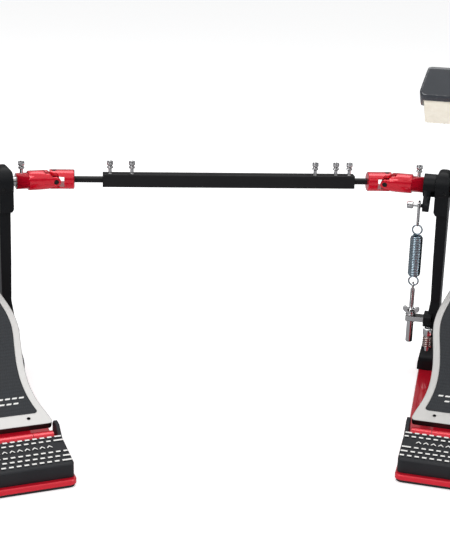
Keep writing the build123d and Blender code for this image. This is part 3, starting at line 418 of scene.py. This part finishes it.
def grown(name, tree, place, spots=(), **values):
    """A plain mesh piece made by a tree at spots in mm, then set in its place."""
    seed_mesh = bpy.data.meshes.new(name + "_seed")
    seed_mesh.from_pydata([[v * MM for v in spot] for spot in spots], [], [])
    seed = bpy.data.objects.new(name + "_seed", seed_mesh)
    bpy.context.scene.collection.objects.link(seed)
    modifier = seed.modifiers.new("grow", "NODES")
    modifier.node_group = tree
    for item in tree.interface.items_tree:
        if item.in_out == "INPUT" and item.name in values:
            modifier[item.identifier] = values[item.name]
    graph = bpy.context.evaluated_depsgraph_get()
    mesh = bpy.data.meshes.new_from_object(seed.evaluated_get(graph), depsgraph=graph)
    bpy.data.objects.remove(seed)
    mesh.name = name
    mesh.transform(place)
    return add_piece(name, mesh)


def copies_tree():
    """One small part repeated at each point it is given."""
    tree, given, made = node_tree("repeated part", (
        ("Geometry", "Geometry"), ("Part", "Object"), ("Turn", "Vector"), ("Material", "Material")))
    part = tree.nodes.new("GeometryNodeObjectInfo")
    repeat = tree.nodes.new("GeometryNodeInstanceOnPoints")
    tree.links.new(given.outputs["Part"], part.inputs["Object"])
    tree.links.new(given.outputs["Geometry"], repeat.inputs["Points"])
    tree.links.new(part.outputs["Geometry"], repeat.inputs["Instance"])
    tree.links.new(given.outputs["Turn"], repeat.inputs["Rotation"])
    end_tree(tree, given, made, repeat.outputs["Instances"])
    return tree


def pattern_part(name, mesh):
    """A part kept out of the scene, only there for a tree to repeat."""
    return bpy.data.objects.new(name, mesh)


repeated_part = copies_tree()
lock_screw_x, lock_screw_y, lock_screw_drop = 42, -17.6, 4
oxide_steel = finish("black oxide steel", (0.03, 0.03, 0.032), (0.05, 0.05, 0.05), (0.3, 0.45),
                     scale=600, metallic=0.6)
socket_screw = pattern_part("socket_screw", to_mesh(
    turned([(0, -3), (1.6, -3), (1.6, -0.4), (1.4, -0.2), (0.8, -0.2), (0.8, -1.6), (0, -1.6)], 12),
    "socket_screw", 40))
for p in pedals:
    lock_screws = grown(
        f"{p}_bearing_lock_screws", repeated_part, pedal_place(p),
        spots=[(side * lock_screw_x, lock_screw_y, axle_height / MM - lock_screw_drop)
               for side in (-1, 1)],
        Part=socket_screw, Turn=(math.pi / 2, 0, 0), Material=oxide_steel)
    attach(lock_screws, "slave_stand" if p == "slave" else "root")

# ---- Floor spurs and chrome hardware ----
# Pointed chromed steel screws with knurled heads pass through the feet of the frames and bite
# into the floor. A copper-washed spring under each head keeps it from turning.
chrome = finish("chrome plate", (0.72, 0.72, 0.73), (0.80, 0.80, 0.81), (0.07, 0.16), (0.9, 0.9, 0.9),
                scale=300, depth=0.000006, metallic=1.0, edge=0.0003)
dress(chrome, "spring_brackets", "hoop_clamp_bolt", "main_beater_rod", "second_beater_rod")


def coil_tree():
    """A coil of round wire about z: radius and end radius, with a cone over a share of its height."""
    tree, given, made = node_tree("wound wire", (
        ("Turns", "Float"), ("Radius", "Float"), ("End radius", "Float"), ("Cone", "Float"),
        ("Height", "Float"), ("Wire", "Float"), ("Steps", "Int"), ("Material", "Material")))
    line = tree.nodes.new("GeometryNodeCurvePrimitiveLine")
    steps = tree.nodes.new("GeometryNodeResampleCurve")
    along = tree.nodes.new("GeometryNodeSplineParameter").outputs["Factor"]
    tree.links.new(line.outputs["Curve"], steps.inputs["Curve"])
    tree.links.new(given.outputs["Steps"], steps.inputs["Count"])
    from_end = calculate(tree, "MINIMUM", along, calculate(tree, "SUBTRACT", 1.0, along))
    open_share = calculate(tree, "MINIMUM", 1.0, calculate(
        tree, "DIVIDE", from_end, given.outputs["Cone"]))
    gap = calculate(tree, "SUBTRACT", given.outputs["Radius"], given.outputs["End radius"])
    radius = calculate(tree, "ADD", given.outputs["End radius"],
                       calculate(tree, "MULTIPLY", gap, calculate(tree, "SQRT", open_share)))
    angle = calculate(tree, "MULTIPLY", along,
                      calculate(tree, "MULTIPLY", given.outputs["Turns"], 2 * math.pi))
    spot = tree.nodes.new("ShaderNodeCombineXYZ")
    tree.links.new(calculate(tree, "MULTIPLY", radius, calculate(tree, "COSINE", angle)),
                   spot.inputs["X"])
    tree.links.new(calculate(tree, "MULTIPLY", radius, calculate(tree, "SINE", angle)),
                   spot.inputs["Y"])
    tree.links.new(calculate(tree, "MULTIPLY", along, given.outputs["Height"]), spot.inputs["Z"])
    wind = tree.nodes.new("GeometryNodeSetPosition")
    tree.links.new(steps.outputs["Curve"], wind.inputs["Geometry"])
    tree.links.new(spot.outputs["Vector"], wind.inputs["Position"])
    section = tree.nodes.new("GeometryNodeCurvePrimitiveCircle")
    section.inputs["Resolution"].default_value = 8
    tree.links.new(given.outputs["Wire"], section.inputs["Radius"])
    sweep = tree.nodes.new("GeometryNodeCurveToMesh")
    sweep.inputs["Fill Caps"].default_value = True
    tree.links.new(wind.outputs["Geometry"], sweep.inputs["Curve"])
    tree.links.new(section.outputs["Curve"], sweep.inputs["Profile Curve"])
    end_tree(tree, given, made, sweep.outputs["Mesh"])
    return tree


def thread_tree():
    """A threaded bar on z: a cylinder whose skin rises and falls along a helix."""
    tree, given, made = node_tree("threaded bar", (
        ("Radius", "Float"), ("Length", "Float"), ("Pitch", "Float"), ("Depth", "Float"),
        ("Rings", "Int"), ("Material", "Material")))
    bar = tree.nodes.new("GeometryNodeMeshCylinder")
    bar.inputs["Vertices"].default_value = 16
    tree.links.new(given.outputs["Rings"], bar.inputs["Side Segments"])
    tree.links.new(given.outputs["Radius"], bar.inputs["Radius"])
    tree.links.new(given.outputs["Length"], bar.inputs["Depth"])
    where = tree.nodes.new("GeometryNodeInputPosition")
    parts = tree.nodes.new("ShaderNodeSeparateXYZ")
    tree.links.new(where.outputs["Position"], parts.inputs["Vector"])
    around = calculate(tree, "ARCTAN2", parts.outputs["Y"], parts.outputs["X"])
    turns = calculate(tree, "DIVIDE", parts.outputs["Z"], given.outputs["Pitch"])
    phase = calculate(tree, "SUBTRACT", calculate(tree, "MULTIPLY", turns, 2 * math.pi), around)
    rise = calculate(tree, "MULTIPLY", calculate(tree, "SUBTRACT", calculate(
        tree, "COSINE", phase), 1.0), calculate(tree, "MULTIPLY", given.outputs["Depth"], 0.5))
    share = calculate(tree, "ADD", 1.0, calculate(tree, "DIVIDE", rise, given.outputs["Radius"]))
    moved = tree.nodes.new("ShaderNodeCombineXYZ")
    for axis in "XY":
        tree.links.new(calculate(tree, "MULTIPLY", parts.outputs[axis], share), moved.inputs[axis])
    tree.links.new(parts.outputs["Z"], moved.inputs["Z"])
    cut = tree.nodes.new("GeometryNodeSetPosition")
    tree.links.new(bar.outputs["Mesh"], cut.inputs["Geometry"])
    tree.links.new(moved.outputs["Vector"], cut.inputs["Position"])
    end_tree(tree, given, made, cut.outputs["Geometry"])
    return tree


wound_wire, threaded_bar = coil_tree(), thread_tree()
warm_steel = finish("copper-washed steel", (0.62, 0.47, 0.44), (0.72, 0.6, 0.57), (0.16, 0.3),
                    scale=400, depth=0.00001, metallic=1.0)
spur_x, spur_y = 46.5, -29.0
for p in pedals:
    spur_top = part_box(f"{p}_floor_spurs")[1].z / MM
    head = turned([(0, 7.6), (2.6, 10), (3, 10.4), (3, spur_top - 9), (3.6, spur_top - 8.6),
                   (4.8, spur_top - 7.4), (5.2, spur_top - 6.2), (5.2, spur_top - 2.4),
                   (4.9, spur_top - 1.2), (4.1, spur_top - 0.4), (3.2, spur_top), (2.6, spur_top),
                   (2.2, spur_top - 2.4), (0, spur_top - 2.4)], 32, knurl=(6, 7))
    spur = pattern_part(f"{p}_spur", to_mesh(head, f"{p}_spur", 35))
    spots = [(side * spur_x, spur_y, 0) for side in (-1, 1)]
    spurs = grown(f"{p}_spurs", repeated_part, pedal_place(p), spots=spots, Part=spur,
                  Turn=(0, 0, 0), Material=chrome)
    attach(spurs, f"{p}_spurs")
    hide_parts(f"{p}_floor_spurs")
    foot_top, head_depth = 30.0, 9.3
    for side in (-1, 1):
        place = pedal_place(p) @ Matrix.Translation((side * spur_x * MM, spur_y * MM, foot_top * MM))
        height = (spur_top - head_depth - foot_top) * MM
        lock = grown(f"{p}_spur_spring_{'left' if side < 0 else 'right'}", wound_wire, place,
                     Turns=5.5, Radius=0.0041, **{"End radius": 0.0039}, Cone=0.1, Height=height,
                     Wire=0.00085, Steps=150, Material=warm_steel)
        lock.data.shade_smooth()
        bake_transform(lock)

# ---- Heel plates ----
# Black coated castings, bolted to the base plates, that slope down to the player. Their raised
# bars are ground bare so that a heel finds them.
heel_back, heel_top, heel_slope = -237.0, 25.0, math.radians(6.8)
bar_height, height_margin, nearly_square = 0.9, 0.0003, 0.95


def paint_over(material, mask_from, paint):
    """Paints part of a finish, where mask_from says so from the material's own nodes."""
    nodes, links = material.node_tree.nodes, material.node_tree.links
    shader = nodes["Principled BSDF"]
    mask = mask_from(nodes, links)
    under = shader.inputs["Base Color"].links[0].from_socket
    links.new(mixed(nodes, links, mask, under, paint), shader.inputs["Base Color"])
    metallic = shader.inputs["Metallic"].default_value
    if metallic:
        links.new(spread(nodes, links, mask, metallic, 0.0), shader.inputs["Metallic"])


def compared(nodes, links, output, operation, value, margin=0.0):
    """1 where an output passes a test against a value, otherwise 0."""
    test = nodes.new("ShaderNodeMath")
    test.operation = operation
    test.inputs[1].default_value = value
    test.inputs[2].default_value = margin
    links.new(output, test.inputs[0])
    return test.outputs["Value"]


def along_direction(nodes, links, output, direction):
    """How far an output vector reaches along a direction."""
    reach = nodes.new("ShaderNodeVectorMath")
    reach.operation = "DOT_PRODUCT"
    reach.inputs[1].default_value = direction
    links.new(output, reach.inputs[0])
    return reach.outputs["Value"]


def ground_bars(pedal):
    """1 on the tops of a heel plate's raised bars."""
    stand = pedal_place(pedal)
    outward = stand.to_3x3() @ Vector((0, -math.sin(heel_slope), math.cos(heel_slope)))
    bar_top = outward.dot(stand @ Vector((0, heel_back * MM, heel_top * MM))) + bar_height * MM

    def mask(nodes, links):
        where = nodes.new("ShaderNodeTexCoord").outputs["Object"]
        facing = nodes.new("ShaderNodeNewGeometry").outputs["True Normal"]
        high = compared(nodes, links, along_direction(nodes, links, where, outward),
                        "COMPARE", bar_top, height_margin)
        flat = compared(nodes, links, along_direction(nodes, links, facing, outward),
                        "GREATER_THAN", nearly_square)
        both = nodes.new("ShaderNodeMath")
        both.operation = "MULTIPLY"
        links.new(high, both.inputs[0])
        links.new(flat, both.inputs[1])
        return both.outputs["Value"]
    return mask


for p in pedals:
    heel_coat = finish(f"{p} heel coat and bare bars", (0.013, 0.014, 0.017), (0.022, 0.024, 0.028),
                       (0.46, 0.52), (0.07, 0.07, 0.08), scale=1400, blotch=35, depth=0.00005,
                       edge=0.0008, wear=1.0, Specular_IOR_Level=0.3)
    paint_over(heel_coat, ground_bars(p), (0.88, 0.87, 0.85))
    dress(heel_coat, f"{p}_heel_plate")

# ---- Footboards ----
# Tumbled aluminium castings with a satin border. A dotted grip sheet is glued into the recess of
# each, with rows of plain strokes printed near its heel end, and the faces that don't look up are
# black.
cast_aluminium = finish("satin cast aluminium", (0.42, 0.415, 0.405), (0.52, 0.515, 0.505),
                        (0.34, 0.46), (0.8, 0.8, 0.79), scale=1800, blotch=60, depth=0.00003,
                        metallic=0.75, edge=0.0012, wear=1.5)
least_upward, knuckle_top = 0.62, 0.0261


def away_from_top(nodes, links):
    """1 on the edges and the underside, 0 on faces that look up."""
    facing = nodes.new("ShaderNodeNewGeometry").outputs["True Normal"]
    return compared(nodes, links, along_direction(nodes, links, facing, (0, 0, 1)), "LESS_THAN",
                    least_upward)


def shade_above_knuckle(nodes, links):
    """1 above the hinge's turned knuckles, where the leaf under the footboard's heel is painted
    near-black as shade.
    """
    where = nodes.new("ShaderNodeTexCoord").outputs["Object"]
    return compared(nodes, links, along_direction(nodes, links, where, (0, 0, 1)), "GREATER_THAN",
                    knuckle_top)


def grip_weave(material):
    """Fine raised dots in staggered rows, pressed into the grip sheet, with painted shade that darkens
    the hollows between them.
    """
    nodes, links = material.node_tree.nodes, material.node_tree.links
    where = nodes.new("ShaderNodeTexCoord")
    dots = nodes.new("ShaderNodeTexVoronoi")
    dots.inputs["Scale"].default_value = 620
    dots.inputs["Randomness"].default_value = 0.25
    links.new(where.outputs["Object"], dots.inputs["Vector"])
    press = nodes.new("ShaderNodeBump")
    press.inputs["Strength"].default_value = 0.8
    press.inputs["Distance"].default_value = 0.0003
    press.invert = True
    links.new(dots.outputs["Distance"], press.inputs["Height"])
    bump = nodes["Bump"]
    links.new(bump.outputs["Normal"], press.inputs["Normal"])
    shader = nodes["Principled BSDF"]
    links.new(press.outputs["Normal"], shader.inputs["Normal"])
    under = shader.inputs["Base Color"].links[0].from_socket
    # painted shade: the colour darkens away from each dot's middle, into the hollows between the raised
    # dots
    links.new(mixed(nodes, links, dots.outputs["Distance"], under, (0.008, 0.009, 0.011)),
              shader.inputs["Base Color"])


# the footboard's sides, heel end and underside, every face that doesn't look up, are coloured
# near-black
paint_over(cast_aluminium, away_from_top, (0.012, 0.012, 0.013))
# The hinge leaf above the knuckles' height is painted near-black: painted shade for the shadow under
# the footboard's heel edge. The knuckles stay red.
hinge_leaf_painted_shade = red_anodised.copy()
hinge_leaf_painted_shade.name = "red knuckle and black leaf"
paint_over(hinge_leaf_painted_shade, shade_above_knuckle, (0.008, 0.008, 0.009))
grip = finish("dark grip sheet", (0.020, 0.025, 0.031), (0.032, 0.038, 0.046), (0.55, 0.7),
              scale=1500, depth=0.0001, edge=0.0003, Specular_IOR_Level=0.35)
grip_weave(grip)
white_ink = finish("white print", (0.80, 0.80, 0.78), (0.9, 0.9, 0.88), (0.5, 0.6), depth=0.00001)


def grip_face(pedal):
    """A placing on the grip's upper face: x across, y up the board from its heel end, z off it."""
    mesh = frame["nodes"][f"{pedal}_grip_insert"].data
    widest = max(mesh.polygons, key=lambda face: face.area if face.normal.z > 0.5 else 0)
    out = widest.normal.copy()
    across = (pedal_place(pedal).to_3x3() @ Vector((1, 0, 0))).normalized()
    along = out.cross(across).normalized()
    on_face = [mesh.vertices[n].co for face in mesh.polygons if face.normal.dot(out) > 0.99
               for n in face.vertices]
    heel_edge = min(spot.dot(along) for spot in on_face)
    lowest = [spot for spot in on_face if spot.dot(along) < heel_edge + 0.003]
    middle = sum(spot.dot(across) for spot in lowest) / len(lowest)
    level = mesh.vertices[widest.vertices[0]].co.dot(out)
    return standing((across, along, out), across * middle + along * heel_edge + out * level)


def slanted_stroke():
    """A flat slanted dash with a rounded look, a tenth of a millimetre thick."""
    shape = bmesh.new()
    outline = [(-2.4, -0.7), (-1.9, -1.0), (1.5, -1.0), (2.1, -0.6), (2.6, 0.6), (2.2, 1.0),
               (-1.3, 1.0), (-1.9, 0.6)]
    low, high = ([shape.verts.new((x * MM, y * MM, z * MM)) for x, y in outline] for z in (-0.05, 0.1))
    shape.faces.new(high)
    shape.faces.new(low[::-1])
    for n in range(len(outline)):
        m = (n + 1) % len(outline)
        shape.faces.new((low[n], low[m], high[m], high[n]))
    return pattern_part("slanted_stroke", to_mesh(shape, "slanted_stroke"))


stroke, stroke_pitch = slanted_stroke(), 6.2
for p in pedals:
    dress(cast_aluminium, f"{p}_footboard")
    dress(hinge_leaf_painted_shade, f"{p}_hinge_leaf")
    dress(grip, f"{p}_grip_insert")
    rows = [(stroke_pitch * n, above_heel, 0) for above_heel, reach in ((21.0, 3), (14.5, 2))
            for n in range(-reach, reach + 1)]
    print_marks = grown(f"{p}_grip_print", repeated_part, grip_face(p), spots=rows, Part=stroke,
                        Turn=(0, 0, 0), Material=white_ink)
    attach(print_marks, f"{p}_board")

# ---- Chain drive ----
# A double roller chain of nickelled steel plates is pinned to the footboard's toe and runs over
# part of a red anodised sprocket that is clamped to the axle.
chain_steel = finish("nickelled chain", (0.42, 0.41, 0.39), (0.55, 0.54, 0.52), (0.2, 0.4),
                     scale=700, depth=0.00002, metallic=1.0, edge=0.0003)
for p in pedals:
    dress(chain_steel, f"{p}_chain_run", f"{p}_chain_wrap")
    dress(red_anodised, f"{p}_sprocket")

# ---- Axles, beater hubs and rockers ----
# Ground steel axles carry cast hubs that clamp the beater rods. At the outer end of each, a black
# rocker arm ends in a chromed pin with a knurled knob, from which a return spring hangs.
ground_steel = finish("ground steel", (0.55, 0.55, 0.55), (0.65, 0.65, 0.64), (0.14, 0.26),
                      scale=500, depth=0.00001, metallic=1.0)
dress(ground_steel, "slave_axle", "main_axle", "second_axle")
dress(powder_coat, "main_beater_hub", "second_beater_hub", "hoop_clamp_jaw")


def cad_copy(node):
    """A node's own shape as a working mesh with its loose triangles joined."""
    shape = bmesh.new()
    shape.from_mesh(frame["nodes"][node].data)
    bmesh.ops.remove_doubles(shape, verts=shape.verts, dist=0.000002)
    return shape


def across_axle(pedal, x, y, z):
    """A placing whose z runs along the axle to the pedal's right, x to the drum and y up."""
    return pedal_place(pedal) @ Matrix.Translation((x * MM, y * MM, z * MM)) @ Matrix(
        ((0, 0, 1, 0), (1, 0, 0, 0), (0, 1, 0, 0), (0, 0, 0, 1)))


arm_outside, pin_start = 65.3, 63.4
pin_angle, pin_reach = math.radians(43), 25.0
pin_y = -pin_reach * math.sin(pin_angle)
pin_z = axle_height / MM - pin_reach * math.cos(pin_angle)
for name, end in (("main", 1), ("second", -1)):
    place = pedal_place("primary")
    arm = cad_copy(f"{name}_rocker")
    outward = place.to_3x3() @ Vector((end, 0, 0))
    cut_at = place @ Vector((end * arm_outside * MM, 0, 0))
    cut = bmesh.ops.bisect_plane(arm, geom=arm.verts[:] + arm.edges[:] + arm.faces[:],
                                 plane_co=cut_at, plane_no=outward, clear_outer=True)
    rim = [e for e in cut["geom_cut"] if isinstance(e, bmesh.types.BMEdge)]
    bmesh.ops.holes_fill(arm, edges=rim)
    rocker = add_piece(f"{name}_rocker_arm", to_mesh(arm, f"{name}_rocker_arm", 30), powder_coat)
    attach(rocker, f"{name}_swing")
    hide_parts(f"{name}_rocker")
    knob = turned([(0, 0), (1.5, 0), (1.5, 9.6), (3.2, 9.6), (3.8, 10.2), (3.8, 15.2), (3.2, 15.8),
                   (2.2, 15.8), (1.8, 15.2), (0, 15.2)], 32, knurl=(4, 5))
    if end < 0:
        bmesh.ops.scale(knob, verts=knob.verts, vec=(1, 1, -1))
        bmesh.ops.reverse_faces(knob, faces=knob.faces)
    knob_mesh = to_mesh(knob, f"{name}_rocker_pin", 35)
    knob_mesh.transform(across_axle("primary", end * pin_start, pin_y, pin_z))
    pin = add_piece(f"{name}_rocker_pin", knob_mesh, chrome)
    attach(pin, f"{name}_swing")

# ---- Beater heads ----
# Each head is a rounded moulding of polished black plastic that is screwed to its rod. A block of
# dense cream felt is glued to its striking side.
polished_plastic = finish("polished black plastic", (0.020, 0.024, 0.031), (0.034, 0.040, 0.050),
                          (0.14, 0.3), scale=200, blotch=40, depth=0.00002, edge=0.0002,
                          Coat_Weight=0.8, Coat_Roughness=0.06)
felt = finish("cream felt", (0.78, 0.71, 0.58), (0.88, 0.83, 0.72), (0.85, 0.95), scale=1100,
              blotch=180, depth=0.0006, edge=0.001, Sheen_Weight=0.6, Sheen_Roughness=0.5)


def softened(piece, modifier_type, **settings):
    """The piece's mesh with one modifier worked in."""
    modifier = piece.modifiers.new("shape", modifier_type)
    for key, value in settings.items():
        setattr(modifier, key, value)
    graph = bpy.context.evaluated_depsgraph_get()
    mesh = bpy.data.meshes.new_from_object(piece.evaluated_get(graph), depsgraph=graph)
    piece.modifiers.clear()
    old, piece.data = piece.data, mesh
    bpy.data.meshes.remove(old)


for n in ("main", "second"):
    shell = cad_copy(f"{n}_beater_head")
    head = add_piece(f"{n}_beater_shell", to_mesh(shell, f"{n}_beater_shell"), polished_plastic)
    softened(head, "REMESH", mode="VOXEL", voxel_size=0.0009)
    softened(head, "SMOOTH", factor=0.7, iterations=26)
    head.data.shade_smooth()
    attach(head, f"{n}_head")
    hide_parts(f"{n}_beater_head")
    pad_shape = cad_copy(f"{n}_beater_felt")
    pad = add_piece(f"{n}_felt_pad", to_mesh(pad_shape, f"{n}_felt_pad"), felt)
    softened(pad, "REMESH", mode="VOXEL", voxel_size=0.0011)
    softened(pad, "SMOOTH", factor=0.6, iterations=6)
    fuzz = bpy.data.textures.new(f"{n}_fuzz", "CLOUDS")
    fuzz.noise_scale = 0.0035
    softened(pad, "DISPLACE", texture=fuzz, strength=0.0006, mid_level=0.7)
    pad.data.shade_smooth()
    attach(pad, f"{n}_head")
    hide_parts(f"{n}_beater_felt")

# ---- Linkage ----
# A square steel tube slides over a round shaft, and drum-key screws lock it. Red anodised forks
# and a steel cross make a universal joint at each end; the inner fork clamps on the axle.
satin_black = finish("satin black steel", (0.006, 0.006, 0.007), (0.010, 0.010, 0.011), (0.26, 0.4),
                     (0.10, 0.10, 0.105), scale=1000, depth=0.00001, wear=1.0,
                     Specular_IOR_Level=0.35)
dress(satin_black, "link_tube", "slave_shaft", "primary_shaft", "slave_joint_cross",
      "primary_joint_cross")


def key_screw():
    """A drum-key screw: plain shank, slim neck, ribbed collar and a crown of four prongs."""
    shape = turned([(0, -3.2), (2, -3.2), (2, 0), (1.7, 0.3), (1.7, 4.6), (2.5, 5.2), (3.1, 5.4),
                    (3.1, 6.9), (2.5, 7.2), (2.3, 8.4), (3.2, 8.9), (3.3, 9.2), (3.3, 10.2),
                    (0, 10.2)], 32, knurl=(7,))
    for quarter in range(4):
        middle = math.pi / 4 + quarter * math.pi / 2
        outline = [(radius * math.cos(middle + turn), radius * math.sin(middle + turn))
                   for radius, turns in ((3.3, (-0.5, -0.25, 0, 0.25, 0.5)), (1.4, (0.3, -0.3)))
                   for turn in turns]
        floor_ring, top_ring = ([shape.verts.new((x * MM * s, y * MM * s, z * MM)) for x, y in outline]
                                for z, s in ((10.0, 1.0), (12.5, 0.95)))
        shape.faces.new(top_ring)
        shape.faces.new(floor_ring[::-1])
        for n in range(len(outline)):
            m = (n + 1) % len(outline)
            shape.faces.new((floor_ring[n], floor_ring[m], top_ring[m], top_ring[n]))
    return pattern_part("key_screw", to_mesh(shape, "key_screw", 35))


drum_key_screw = key_screw()
tube_low, tube_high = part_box("link_tube")
middle = (tube_low + tube_high) / 2
tube_place = Matrix.Translation((0, middle.y, tube_high.z))
from_left_end = (7.5, 29.8, 219.5, 241.2, 255.3)
tube_screws = grown(
    "tube_screws", repeated_part, tube_place,
    spots=[(tube_low.x / MM + along, 0, 0) for along in from_left_end],
    Part=drum_key_screw, Turn=(0, 0, 0.3), Material=chrome)
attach(tube_screws, "tube")
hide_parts("tube_key_screws")

collar_screw_reach, collar_seat = 33.6, 7.6
joint_reach = {"slave": 97.3, "primary": -104.7}
for p in pedals:
    dress(red_anodised, f"{p}_outer_yoke")
    body = "slave_swing" if p == "slave" else "second_swing"
    fork = cad_copy(f"{p}_inner_yoke")
    reached = {max(fork.verts, key=lambda v: v.co.z)}
    grow = list(reached)
    while grow:
        for edge in grow.pop().link_edges:
            for vert in edge.verts:
                if vert not in reached:
                    reached.add(vert)
                    grow.append(vert)
    bmesh.ops.delete(fork, geom=list(reached), context="VERTS")
    yoke = add_piece(f"{p}_yoke_on_axle", to_mesh(fork, f"{p}_yoke_on_axle", 30), red_anodised)
    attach(yoke, body)
    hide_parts(f"{p}_inner_yoke")
    inwards = -1 if p == "slave" else 1
    collar_screw = grown(
        f"{p}_collar_screw", repeated_part, pedal_place(p),
        spots=[(joint_reach[p] + inwards * collar_screw_reach, 0, axle_height / MM + collar_seat)],
        Part=drum_key_screw, Turn=(0, 0, 0.6), Material=chrome)
    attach(collar_screw, body)

# ---- Return springs ----
# Each spring is close-wound zinc-plated steel wire with a ring at both ends. It hangs by a chromed
# wire loop from the rocker's pin, and an eye rod with a wing nut pulls it tight below a bracket.
zinc = finish("blue-white zinc", (0.40, 0.50, 0.57), (0.46, 0.56, 0.63), (0.14, 0.2), scale=400,
              depth=0.000004, metallic=1.0)


def wire_loop(name, outline, thickness, place, material):
    """A closed ring of round wire along an outline in mm that lies in the placing's x and z."""
    data = bpy.data.curves.new(name, "CURVE")
    data.dimensions = "3D"
    data.bevel_depth = thickness * MM
    data.bevel_resolution = 4
    data.resolution_u = 4
    line = data.splines.new("NURBS")
    line.points.add(len(outline) - 1)
    for point, (x, z) in zip(line.points, outline):
        point.co = (x * MM, 0, z * MM, 1)
    line.order_u = 3
    line.use_cyclic_u = True
    holder = bpy.data.objects.new(name, data)
    bpy.context.scene.collection.objects.link(holder)
    graph = bpy.context.evaluated_depsgraph_get()
    mesh = bpy.data.meshes.new_from_object(holder.evaluated_get(graph), depsgraph=graph)
    bpy.data.objects.remove(holder)
    mesh.transform(place)
    mesh.shade_smooth()
    return add_piece(name, mesh, material)


def ring_outline(radius, height, count=16):
    """Points of a circle in mm, its middle at a height."""
    turns = [2 * math.pi * n / count for n in range(count)]
    return [(radius * math.cos(turn), height + radius * math.sin(turn)) for turn in turns]


def wing_nut():
    """A wing nut above the bracket, a washer on each side of that and a long sleeve nut below."""
    shape = turned([(2.2, 3.0), (5.6, 3.0), (5.6, 3.8), (4.4, 3.9), (4.6, 4.4), (4.0, 9.4),
                    (3.4, 10.2), (2.2, 10.2)], 32)
    lower = turned([(2.2, -27.2), (3.0, -27.2), (3.6, -26.4), (3.6, -4.0), (5.4, -3.9),
                    (5.4, -3.1), (2.2, -3.1)], 32)
    wings = bmesh.new()
    for side in (-1, 1):
        outline = [(2.4, 4.6), (5.0, 4.8), (7.4, 6.2), (8.7, 8.4), (8.6, 10.8), (7.4, 12.2),
                   (5.4, 11.8), (3.8, 10.4), (2.4, 9.8)]
        faces = [[wings.verts.new((side * x * MM, y * MM, z * MM)) for x, z in outline]
                 for y in (-1.5, 1.5)]
        wings.faces.new(faces[0])
        wings.faces.new(faces[1][::-1])
        for n in range(len(outline)):
            m = (n + 1) % len(outline)
            wings.faces.new((faces[0][m], faces[0][n], faces[1][n], faces[1][m]))
    bmesh.ops.recalc_face_normals(wings, faces=wings.faces)
    sharp = [e for e in wings.edges if e.calc_face_angle(0) > 1.0]
    bmesh.ops.bevel(wings, geom=sharp, offset=0.0006, segments=3, affect="EDGES")
    for extra in (lower, wings):
        part = to_mesh(extra, "part")
        shape.from_mesh(part)
    return shape


# these three are heights above the floor in mm
eye_height, bracket_height, rod_foot = 91.0, 56.0, 30.0
ring_radius, ring_wire, eye_radius = 5.0, 0.85, 3.4
for name in ("main", "second"):
    swing, stretch = joints[f"{name}_spring_swing"], joints[f"{name}_spring_stretch"]
    eye, rise = Vector(swing["pos_m"]), Vector(stretch["axis"])
    across = (pedal_place("primary").to_3x3() @ Vector((1, 0, 0))).normalized()
    facing = rise.cross(across).normalized()
    leaning = standing((across, facing, rise), eye)
    sideways = standing((facing, -across, rise), eye)
    coil_start, coil_end = 10.0, 56.0
    coil = grown(f"{name}_return_spring", wound_wire,
                 leaning @ Matrix.Translation((0, 0, (coil_start + 0.9) * MM)), Turns=24.5,
                 Radius=0.0058, **{"End radius": 0.0032}, Cone=0.06, Wire=0.00090,
                 Height=(coil_end - coil_start - 1.8) * MM, Steps=600, Material=zinc)
    coil.data.shade_smooth()
    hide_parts(f"{name}_spring_coil")
    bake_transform(coil)
    lower_ring = wire_loop(f"{name}_spring_lower_ring",
                           ring_outline(ring_radius, coil_start - 4.6), ring_wire, leaning, zinc)
    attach(lower_ring, f"{name}_spring")
    upper_ring = wire_loop(f"{name}_spring_upper_ring",
                           ring_outline(ring_radius, coil_end + 5.4), ring_wire, leaning, zinc)
    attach(upper_ring, f"{name}_hook")
    hook_low, hook_high = 67.0, pin_z - eye_height + 3.6
    half = 4.9
    link = [(-half, hook_low + 4), (-half + 1.6, hook_low), (0, hook_low - 1.2), (half - 1.6, hook_low),
            (half, hook_low + 4), (half, hook_high - 4), (half, hook_high), (half - 3, hook_high),
            (-half + 3, hook_high), (-half, hook_high), (-half, hook_high - 4)]
    hook = wire_loop(f"{name}_hook_wire", link, 1.1, sideways, chrome)
    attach(hook, f"{name}_hook")
    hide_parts(f"{name}_spring_hook")
    upright = pedal_place("primary").to_3x3().to_4x4()
    upright.translation = eye
    eye_ring = wire_loop(f"{name}_eye", ring_outline(eye_radius, 0.0), 1.0,
                         upright @ Matrix.Rotation(math.pi / 2, 4, "Z"), chrome)
    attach(eye_ring, "root")
    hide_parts(f"{name}_eye_rod")
    bar_low, bar_high = rod_foot - eye_height, -eye_radius
    bar = grown(f"{name}_threaded_rod", threaded_bar,
                upright @ Matrix.Translation((0, 0, (bar_low + bar_high) / 2 * MM)),
                Radius=0.0024, Length=(bar_high - bar_low) * MM, Pitch=0.0009, Depth=0.00012,
                Rings=256, Material=chrome)
    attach(bar, "root")
    nuts_mesh = to_mesh(wing_nut(), f"{name}_wing_nut", 35)
    nuts_mesh.transform(upright @ Matrix.Translation((0, 0, (bracket_height - eye_height) * MM)))
    nuts = add_piece(f"{name}_wing_nut", nuts_mesh, chrome)
    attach(nuts, f"{name}_nuts")
    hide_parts(f"{name}_spring_nuts")
